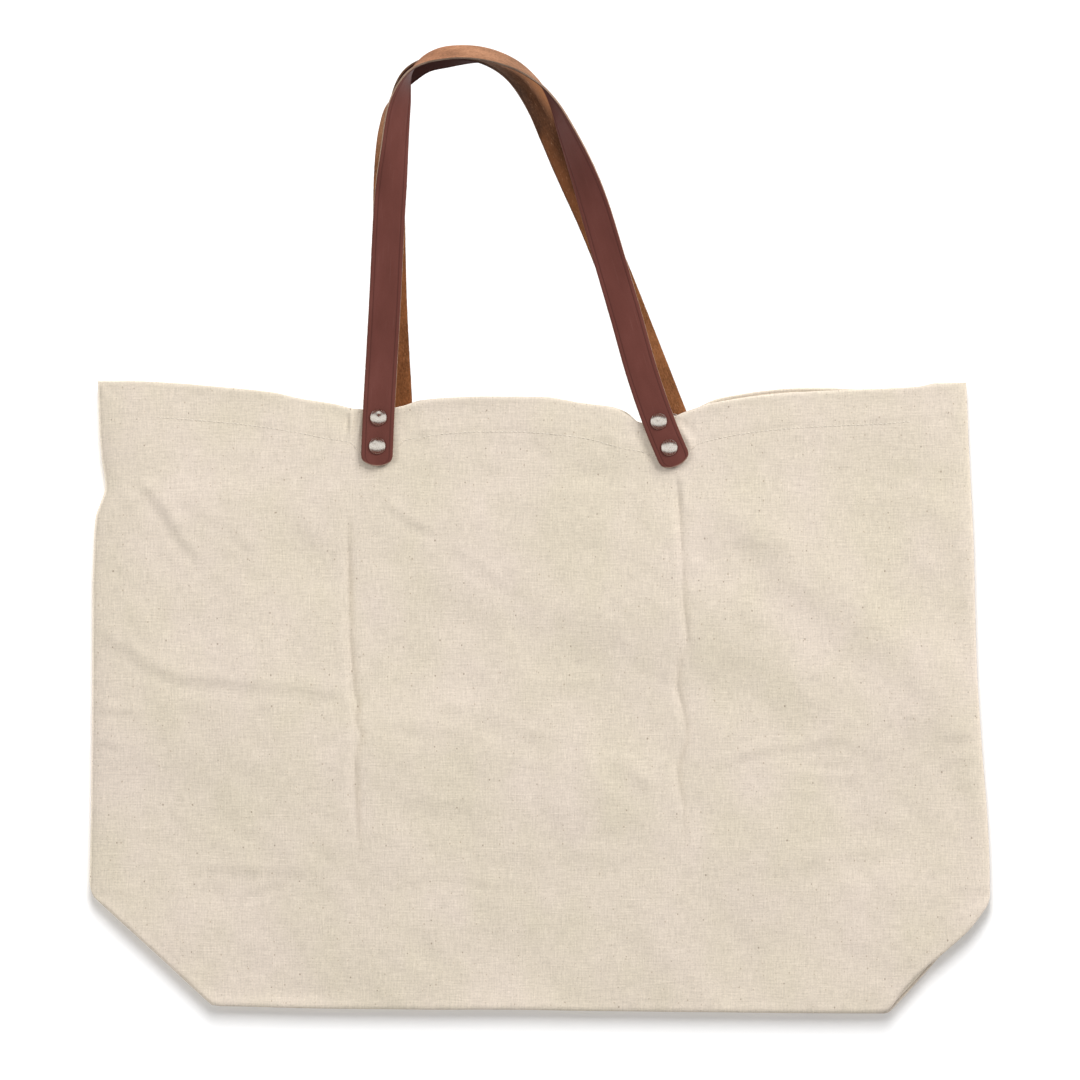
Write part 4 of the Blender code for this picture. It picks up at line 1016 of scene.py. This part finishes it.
def fix_normals(o):
    import bmesh

    bm = bmesh.new()
    bm.from_mesh(o.data)
    bmesh.ops.recalc_face_normals(bm, faces=bm.faces)
    bm.to_mesh(o.data)
    bm.free()


def rounded_box(a0, a1, b0, b1, r, n=4):
    """Outline points of a rounded rectangle in two axes, counter-clockwise."""
    pts = []
    for ca, cb, start in ((a1 - r, b1 - r, 0), (a0 + r, b1 - r, 90), (a0 + r, b0 + r, 180), (a1 - r, b0 + r, 270)):
        for k in range(n + 1):
            t = math.radians(start + 90 * k / n)
            pts.append((ca + r * math.cos(t), cb + r * math.sin(t)))
    return pts


def hem_band(name, back, node):
    """The turned-in plies behind the top edge, with a rounded lower fold."""
    side = 1.0 if back else -1.0
    xs = np.linspace(-270.0, 260.0, 240)
    centres, outlines = [], []
    for x in xs:
        top = float(top_height(np.array(x), back)) - 2.3
        depth, _ = half_depth(np.array([x]), np.array([390.0]), None, None)
        y = float(depth[0]) - CANVAS - 0.3
        wobble = 0.12 * float(noise(np.array([x]), np.array([10.0]), 9.0, 31))
        outline = []
        for dz, dy in hem_outline():
            outline.append((0.0, side * (y - 0.72 + dy + wobble * (0.4 if dy > 0 else 1.0)), top - HEM_DEPTH / 2 + dz + 0.3 * wobble))
        centres.append((x, 0.0, 0.0))
        outlines.append(outline)
    return tube(name, centres, outlines, canvas_inside, node)


def hem_outline():
    pts = []
    zs = np.linspace(-HEM_DEPTH / 2 + 1.0, HEM_DEPTH / 2 - 0.6, 9)
    for k in range(9):
        pts.append((zs[k], 0.68 + 0.04 * math.sin(k)))
    pts += [(HEM_DEPTH / 2 - 0.2, 0.45), (HEM_DEPTH / 2, 0.0), (HEM_DEPTH / 2 - 0.2, -0.45)]
    for k in range(8, -1, -1):
        pts.append((zs[k], -0.68 - (0.10 if k == 0 else 0.0)))
    pts += [(-HEM_DEPTH / 2 + 0.3, -0.55), (-HEM_DEPTH / 2, 0.0), (-HEM_DEPTH / 2 + 0.3, 0.55)]
    return pts


hem_band("canvas_front_hem", False, "front_hem_band")
hem_band("canvas_back_hem", True, "back_hem_band")


def seam_strip(name, edge, inward, node):
    """Bound seam allowance inside a side edge."""
    zs = np.linspace(92.0, 374.0, 130)
    centres, outlines = [], []
    for z in zs:
        x = float(table(edge, z)) + inward * 9.5
        lift = 0.25 * float(noise(np.array([z]), np.array([x]), 7.0, 35))
        wide = 4.4 + 0.3 * float(noise(np.array([z]), np.array([x]), 11.0, 36))
        lim = float(half_depth(np.array([x + inward * 4]), np.array([z]), None, None)[0][0]) - CANVAS - 0.4
        t = min(0.9, lim)
        centres.append((x, 0.0, z))
        outlines.append([(a, b + lift * 0.3, 0.0) for a, b in rounded_box(-wide, wide, -t, t, min(0.55, t * 0.8), 3)])
    return tube(name, centres, outlines, canvas_inside, node)


seam_strip("canvas_left_seam", LEFT_EDGE, 1.0, "left_side_seam")
seam_strip("canvas_right_seam", RIGHT_EDGE, -1.0, "right_side_seam")


def fold_outline(reach, foot_z, top_z, thick, n=9):
    """An upside-down V of one ply with a rounded crest and soft legs, in (y, z)."""
    outer, inner = [], []
    for k in range(n + 1):
        f = k / n
        y = -reach + (reach - 0.9) * (f ** 0.8)
        outer.append((y, foot_z + (top_z - 1.2 - foot_z) * f))
    crest = [(-0.9 + 0.9 * (1 - math.cos(math.radians(a))), top_z - 1.2 + 1.2 * math.sin(math.radians(a))) for a in (30, 60, 90)]
    left = outer + crest
    outline = left + [(-y, z) for y, z in reversed(left[:-1])]
    for y, z in left[:-3]:
        pass
    under = [(max(-reach + thick + 0.05, y + thick) if z < top_z - 3 else min(-0.12, y + thick), z - (0.0 if z <= foot_z + 0.1 else 0.6)) for y, z in outer]
    under = [(min(y, -0.12), z) for y, z in under]
    under[-1] = (-0.12, top_z - 2.4)
    inner = [(-y, z) for y, z in under] + [(y, z) for y, z in reversed(under)]
    return outline + inner


def gusset(name, node, stations):
    """Folded cloth under the bag: stations of (x, foot height, crest height, half spread)."""
    centres, outlines = [], []
    for x, foot, crest, reach in stations:
        ripple = 0.35 * float(noise(np.array([x]), np.array([crest]), 22.0, 41))
        centres.append((x, 0.0, 0.0))
        outlines.append([(0.0, y + ripple * (1 - abs(y) / (reach + 0.1)), z) for y, z in fold_outline(reach, foot, crest, CANVAS)])
    return tube(name, centres, outlines, canvas_inside, node)


def crest_height(x):
    return 80.0 + (72.0 - 80.0) * (x + 286.0) / 572.0


stations = []
for x in np.linspace(-206.0, 218.0, 150):
    foot = 5.4 - 4.6 * (x + 207.0) / 428.0 + 0.9
    stations.append((x, foot, crest_height(x), BELLY - CANVAS - 0.45))
gusset("canvas_bottom_gusset", "bottom_gusset", stations)
for name, node, foot, edge in (("canvas_left_tuck", "left_corner_tuck", (-207.0, 5.5), (-286.0, 80.0)), ("canvas_right_tuck", "right_corner_tuck", (221.0, 1.5), (286.0, 72.5))):
    stations = []
    for f in np.linspace(0.0, 0.84, 46):
        x = foot[0] + math.copysign(1.2, edge[0]) + (edge[0] - foot[0]) * f
        z = foot[1] + (edge[1] - foot[1]) * abs(x - foot[0]) / abs(edge[0] - foot[0]) + 1.6
        reach = float(half_depth(np.array([x]), np.array([z]), None, None)[0][0]) - CANVAS - 0.45 - 2.0 * f * f
        stations.append((x, z, max(z + 4.0, crest_height(x) - 0.4), max(1.1, reach)))
    gusset(name, node, stations)


def stitches(name, back, node):
    """The hem's row of single stitches, each a short twisted thread that dips into the cloth at both ends."""
    side = 1.0 if back else -1.0
    grid = back_grid if back else front_grid
    pitch, length, r = 2.9, 2.35, 0.24
    rivets = STRAPS["back" if back else "front"][1]
    xs = np.arange(-243.0, 234.0, pitch)
    verts, faces, uvs = [], [], []
    for i, x0 in enumerate(xs):
        za, zb = (float(hem_line(np.array(x), back)) for x in (x0, x0 + length))
        n, k = 7, 7
        base = len(verts)
        ya = surface_y(grid, x0 + length / 2, (za + zb) / 2)
        for j in range(n):
            f = j / (n - 1)
            rise = math.sin(math.pi * f)
            rr = r * (0.55 + 0.45 * math.sqrt(max(0.0, rise)))
            cx, cz = x0 + length * f, za + (zb - za) * f + 0.12 * (1 if i % 2 else -1) * (f - 0.5)
            cy = ya + side * (-0.10 + 0.28 * rise)
            for a in range(k):
                t = 2 * math.pi * a / k
                verts.append((cx, cy + rr * math.cos(t), cz + rr * math.sin(t)))
                uvs.append((i * 0.004 + f * length * MM, a / k))
        faces += [tuple(f) for f in ring_faces(n, k, base)]
        faces += [tuple(base + a for a in range(k))[::-1], tuple(base + (n - 1) * k + a for a in range(k))]
    o = new_object(name, verts, faces, uvs, None, [thread])
    fix_normals(o)
    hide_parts(node)
    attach(o, "bag")
    return o


stitches("thread_front_hem", False, "front_hem_thread")
stitches("thread_back_hem", True, "back_hem_thread")


# ---------------------------------------------------------------- straps
def strap(name, which, back, nodes):
    rows, rivets = STRAPS[which]
    total = rows[-1][0]
    near = [0.02, 0.12, 0.3, 0.6, 1.0, 1.5, 2.0, 2.5, 3.0, 3.6, 4.3]
    middle = list(np.arange(5.3, total - 5.3, 1.7))
    stations = near + middle + [total - d for d in reversed(near)]
    top = [10.0, 9.9, 9.6, 9.1, 8.6, 8.2, 7.95, 7.75, 7.6, 7.45, 7.25, 7.0, 6.5, 5.2, 3.5, 1.8, 0.0]
    top = top + [-w for w in reversed(top[:-1])]
    half_t = STRAP_THICK / 2
    profile = []  # (share of half width, height, kind): 0 face, 1 edge, 2 suede
    for w in top:
        crown = 0.10 * (1 - (w / 10) ** 2) - 0.34 * max(0.0, (abs(w) - 9.1) / 0.9) ** 2
        groove = -0.30 * math.exp(-(((abs(w) - 7.6) / 0.34) ** 2))
        profile.append((w / 10, half_t - 0.06 + crown + groove, 0))
    for hgt, out in ((0.62, 1.004), (0.2, 1.007), (-0.25, 1.006), (-0.7, 1.003)):
        profile.append((-out, hgt, 1))
    lower = [-9.9, -9.5, -8.6, -7.2, -5.5, -3.8, -1.9, 0.0]
    lower = lower + [-w for w in reversed(lower[:-1])]
    for w in lower:
        profile.append((w / 10, -half_t + 0.05 + 0.22 * max(0.0, (abs(w) - 9.0) / 1.0) ** 2, 2))
    for hgt, out in ((-0.7, 1.003), (-0.25, 1.006), (0.2, 1.007), (0.62, 1.004)):
        profile.append((out, hgt, 1))
    k = len(profile)
    verts, uvs, tips = [], [], []
    rng = np.random.default_rng(5 if back else 4)
    for s in stations:
        p, t, across, normal = strap_frame(rows, s)
        if back:  # the turned part tucks up against the other handle
            p = p + Vector((0, 0, 0.9 * math.exp(-(((s - 299.0) / 15.0) ** 2))))
        tip = min(s, total - s)
        arc = math.sqrt(29.0 * tip - tip * tip) if tip < 6.0 else 30.0
        half = (arc ** -9 + 10.0 ** -9) ** (-1 / 9)
        thin = 0.85 * float(smooth((p.z - 440.0) / 90.0))  # skived where it turns over
        for w, hgt, kind in profile:
            if hgt < 0.7:
                hgt = hgt + thin * (0.7 - hgt) / 1.95
            reach = w * half
            jitter = 0.0
            if kind == 1:
                jitter = 0.09 * float(noise(np.array([s]), np.array([hgt * 3]), 2.6, 51)) + 0.05 * rng.standard_normal()
            if kind == 2:
                hgt = hgt + 0.035 * rng.standard_normal() * (1 - abs(w) ** 8)
            if kind == 0:
                hgt = hgt + 0.03 * float(noise(np.array([s]), np.array([reach * 1.5]), 9.0, 53))
            q = p + across * (reach + math.copysign(jitter, w)) + normal * hgt
            if kind == 0:
                for rx, rz in rivets:
                    r = math.hypot(q.x - rx, q.z - rz)
                    if r < 9.0 and q.z < 390:
                        q = q - normal * (0.34 * math.exp(-(((r - 5.0) / 1.5) ** 2)))
            verts.append(tuple(q))
            if kind == 0 and tip < 7.0:
                ahead = tip - (14.5 - math.sqrt(14.5 ** 2 - min(14.0, abs(reach)) ** 2))
                tips.append(0.85 * min(1.0, max(0.0, 1.15 - ahead / 0.6)))
            else:
                tips.append(0.0)
            uvs.append((s * MM, (reach + (hgt if kind == 1 else 0.0)) * MM if kind != 1 else hgt * MM))
    n = len(stations)
    kinds = [c for _, _, c in profile]
    faces, marks = [], []
    slot_of = {0: 0, 1: 1, 2: 2}
    for i in range(n - 1):
        for j in range(k):
            m = (j + 1) % k
            faces.append((i * k + j, i * k + m, (i + 1) * k + m, (i + 1) * k + j))
            pair = {kinds[j], kinds[m]}
            marks.append(slot_of[kinds[j]] if len(pair) == 1 else 1)
    faces += [tuple(range(k))[::-1], tuple((n - 1) * k + j for j in range(k))]
    marks += [1, 1]
    o = new_object(name, verts, faces, uvs, marks, [leather_back, edge_back, suede_back] if back else [leather_front, edge_front, suede_front])
    o.data.attributes.new("cut_tip", "FLOAT", "POINT").data.foreach_set("value", np.array(tips, np.float32))
    fix_normals(o)
    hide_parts(*nodes)
    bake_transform(o)
    return o


strap("leather_front_strap", "front", False, ("front_strap_left_end", "front_strap_right_end", "front_strap_loop"))
strap("leather_back_strap", "back", True, ("back_strap_left_end", "back_strap_right_end", "back_strap_loop"))


# ---------------------------------------------------------------- rivets
def lathe(profile, sides):
    verts, faces, uvs = [(0.0, 0.0, profile[0][1])], [], [(0.0, 0.0)]
    for r, h in profile[1:-1]:
        for k in range(sides):
            a = 2 * math.pi * k / sides
            verts.append((r * math.cos(a), r * math.sin(a), h))
            uvs.append((r * math.cos(a) * MM, r * math.sin(a) * MM))
    verts.append((0.0, 0.0, profile[-1][1]))
    uvs.append((0.0, 0.0))
    rings = len(profile) - 2
    for k in range(sides):
        m = (k + 1) % sides
        faces.append((0, 1 + k, 1 + m))
        for i in range(rings - 1):
            a, b = 1 + i * sides, 1 + (i + 1) * sides
            faces.append((a + k, b + k, b + m, a + m))
        faces.append((1 + (rings - 1) * sides + m, 1 + (rings - 1) * sides + k, len(verts) - 1))
    return verts, faces, uvs


def rivet(prefix, x, z, back, seed):
    side = 1.0 if back else -1.0
    seat = STRAP_Y + STRAP_THICK / 2 - 0.28
    inside = HEM_HALF - CANVAS - 0.3 - 1.4 - 0.3
    cap = [(0.0, 1.2), (1.8, 1.2), (1.8, 0.0), (4.6, 0.0), (5.0, 0.05), (5.22, 0.2), (5.3, 0.45), (5.27, 0.7)]
    for k in range(1, 15):
        a = math.radians(90.0 * k / 15)
        cap.append((5.24 * math.cos(a) ** 0.9, 0.72 + 1.62 * math.sin(a) ** 1.15))
    cap.append((0.0, 2.36))
    reach = seat + 0.9 - inside
    post = [(0.0, -1.3), (1.1, -1.3), (1.5, -1.18), (2.6, -1.14), (3.5, -1.2), (4.2, -1.02), (4.65, -0.7), (4.8, -0.4), (4.78, -0.15), (4.6, 0.0), (1.4, 0.0), (1.4, reach - 0.4), (1.2, reach - 0.1), (0.9, reach), (0.0, reach)]
    rng = np.random.default_rng(seed)
    for part, profile, sides, y in (("cap", cap, 56, seat), ("post", post, 40, inside)):
        verts, faces, uvs = lathe(profile, sides)
        out = []
        tilt_x, tilt_z = rng.uniform(-0.022, 0.022), rng.uniform(-0.03, 0.015)
        ax, az, ar, deep = rng.uniform(-2.2, 2.2), rng.uniform(-1.5, 2.2), rng.uniform(1.2, 2.0), 0.16
        if prefix == "front_left_upper_rivet":
            ax, az, ar, deep = 0.3, 2.5, 1.3, 0.55
        if prefix == "front_right_upper_rivet":
            ax, az, ar, deep = -0.4, 0.7, 1.0, 0.30
        for vx, vy, vz in verts:
            h = vz
            if part == "cap" and vz > 0.5:  # small hammer mark
                h -= deep * math.exp(-((vx - ax) ** 2 + (vy - az) ** 2) / ar ** 2)
                h += tilt_x * vx + tilt_z * vy
            out.append((x + vx, side * (y + h), z + vy))
        o = new_object(f"{prefix}_{part}", out, faces, np.array(uvs) + seed * 0.013, None, [nickel])
        fix_normals(o)
        o.data.set_sharp_from_angle(angle=math.radians(48.0))
        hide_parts(f"{prefix}_{part}")
        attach(o, "bag")
        o.name = f"nickel_{prefix}_{part}"


seed = 1
for which in ("front", "back"):
    points = STRAPS[which][1]
    for (tag, level), (x, z) in zip((("left", "lower"), ("left", "upper"), ("right", "lower"), ("right", "upper")), points):
        rivet(f"{which}_{tag}_{level}_rivet", x, z, which == "back", seed)
        seed += 1


# ---------------------------------------------------------------- stage, light, camera
def one_sided_white(name, value):
    """Plain white seen from its front, nothing from behind."""
    g = Graph(name)
    g.bsdf.inputs["Base Color"].default_value = (value, value, value * 1.0, 1)
    g.bsdf.inputs["Roughness"].default_value = 1.0
    g.bsdf.inputs["Specular IOR Level"].default_value = 0.0
    g.bsdf.inputs["Emission Color"].default_value = (1, 1, 1, 1)
    g.bsdf.inputs["Emission Strength"].default_value = 0.10  # light bounced round a white room
    clear = g.node("ShaderNodeBsdfTransparent")
    mix = g.node("ShaderNodeMixShader")
    geo = g.node("ShaderNodeNewGeometry")
    # far from the bag the camera looks through it to the white page
    spot = g.node("ShaderNodeSeparateXYZ")
    g.put(spot.inputs[0], geo.outputs["Position"])
    reach = g.math("MAXIMUM", g.math("ABSOLUTE", spot.outputs[0]), g.math("ABSOLUTE", g.math("SUBTRACT", spot.outputs[2], 0.30)))
    far = g.math("MULTIPLY", g.math("SUBTRACT", reach, 0.50), 4.0, clamp=True)
    path = g.node("ShaderNodeLightPath")
    g.put(mix.inputs[0], g.math("MAXIMUM", geo.outputs["Backfacing"], g.math("MULTIPLY", far, path.outputs["Is Camera Ray"])))
    g.put(mix.inputs[1], g.bsdf.outputs[0])
    g.put(mix.inputs[2], clear.outputs[0])
    g.put(g.out.inputs["Surface"], mix.outputs[0])
    return g.mat


def sheet(name, corners, material):
    me = bpy.data.meshes.new(name)
    me.from_pydata(corners, [], [(0, 1, 2, 3)])
    me.materials.append(material)
    o = bpy.data.objects.new(name, me)
    bpy.context.scene.collection.objects.link(o)
    o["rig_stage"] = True
    return o


# the bag lies flat: the pale floor it lies on is the plane behind it
floor_y = cad_box[1].y + 0.0005
white = one_sided_white("stage_white", 0.93)
sheet("stage_floor", [(-6, floor_y, -6), (6, floor_y, -6), (6, floor_y, 6), (-6, floor_y, 6)], white)

world = bpy.data.worlds.new("studio")
bpy.context.scene.world = world
world.use_nodes = True
wt = world.node_tree
wt.nodes.clear()
out = wt.nodes.new("ShaderNodeOutputWorld")
bg = wt.nodes.new("ShaderNodeBackground")
path = wt.nodes.new("ShaderNodeLightPath")
geo = wt.nodes.new("ShaderNodeTexCoord")
sep = wt.nodes.new("ShaderNodeSeparateXYZ")
wt.links.new(geo.outputs["Generated"], sep.inputs[0])
absz = wt.nodes.new("ShaderNodeMath"); absz.operation = "ABSOLUTE"
wt.links.new(sep.outputs["Z"], absz.inputs[0])
ramp = wt.nodes.new("ShaderNodeValToRGB")
for _ in range(2):
    ramp.color_ramp.elements.new(0.5)
for stop, (place, colour) in zip(ramp.color_ramp.elements, ((0.35, (0.92, 0.91, 0.88, 1)), (0.40, (0.03, 0.022, 0.02, 1)), (0.45, (0.03, 0.022, 0.02, 1)), (0.50, (0.17, 0.066, 0.050, 1)))):
    stop.position, stop.color = place, colour
wt.links.new(absz.outputs[0], ramp.inputs["Fac"])
glossy = wt.nodes.new("ShaderNodeMix"); glossy.data_type = "RGBA"
wt.links.new(path.outputs["Is Glossy Ray"], glossy.inputs[0])
glossy.inputs[6].default_value = (0.45, 0.45, 0.455, 1)
wt.links.new(ramp.outputs["Color"], glossy.inputs[7])
seen = wt.nodes.new("ShaderNodeMix"); seen.data_type = "RGBA"
wt.links.new(path.outputs["Is Camera Ray"], seen.inputs[0])
wt.links.new(glossy.outputs[2], seen.inputs[6])
seen.inputs[7].default_value = (1.0, 1.0, 1.0, 1)
wt.links.new(seen.outputs[2], bg.inputs["Color"])
bg.inputs["Strength"].default_value = 1.0
wt.links.new(bg.outputs[0], out.inputs["Surface"])


def area(name, place, target, size, power, colour=(1, 1, 1)):
    light = bpy.data.lights.new(name, "AREA")
    light.shape = "DISK"
    light.size = size
    light.energy = power
    light.color = colour
    o = bpy.data.objects.new(name, light)
    bpy.context.scene.collection.objects.link(o)
    o.location = place
    o.visible_camera = False
    o.rotation_euler = (Vector(target) - Vector(place)).to_track_quat("-Z", "Y").to_euler()
    return o


def linked(light, receivers, blockers=None):
    """Limits a light to some objects, and its shadows to those cast by some objects."""
    for kind, members in (("receiver", receivers), ("blocker", blockers)):
        if members is not None:
            c = bpy.data.collections.new(f"{light.name}_{kind}s")
            for o in members:
                c.objects.link(o)
            setattr(light.light_linking, f"{kind}_collection", c)


STAGE = [o for o in bpy.data.objects if o.get("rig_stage")]
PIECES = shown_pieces()
key = area("key", (2.60, -2.30, 2.75), (0.0, 0.0, 0.26), 2.5, KEY)
key.visible_glossy = False
linked(key, PIECES)
left_fill = area("left_fill", (-2.6, -2.6, 1.1), (0.0, 0.0, 0.26), 1.6, 52.0)
left_fill.visible_glossy = False
linked(left_fill, PIECES)
top = area("stage_light", (0.0, -2.20, 1.30), (0.0, 0.0, 0.20), 0.8, 58.0)
top.data.shape = "RECTANGLE"
top.data.size_y = 1.5
linked(top, STAGE, [o for o in PIECES if o.name.startswith("canvas")])
back_fill = area("back_fill", (-1.9, 1.5, 1.9), (0.0, 0.0, 0.28), 1.2, 66.0)
linked(back_fill, [o for o in PIECES if "strap" not in o.name], PIECES)  # the floor the bag lies on doesn't hide its back

cam = bpy.data.cameras.new("camera")
cam.lens = 420.0
cam.sensor_width = 36.0
cam.clip_end = 60.0
camera = bpy.data.objects.new("camera", cam)
bpy.context.scene.collection.objects.link(camera)
front_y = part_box("front_panel")[0].y
camera.location = (0.0, front_y - 8.001, 0.30163)
camera.rotation_euler = (math.radians(90), 0, 0)
bpy.context.scene.camera = camera
bpy.context.scene.view_settings.view_transform = "Standard"
bpy.context.scene.view_settings.look = "None"
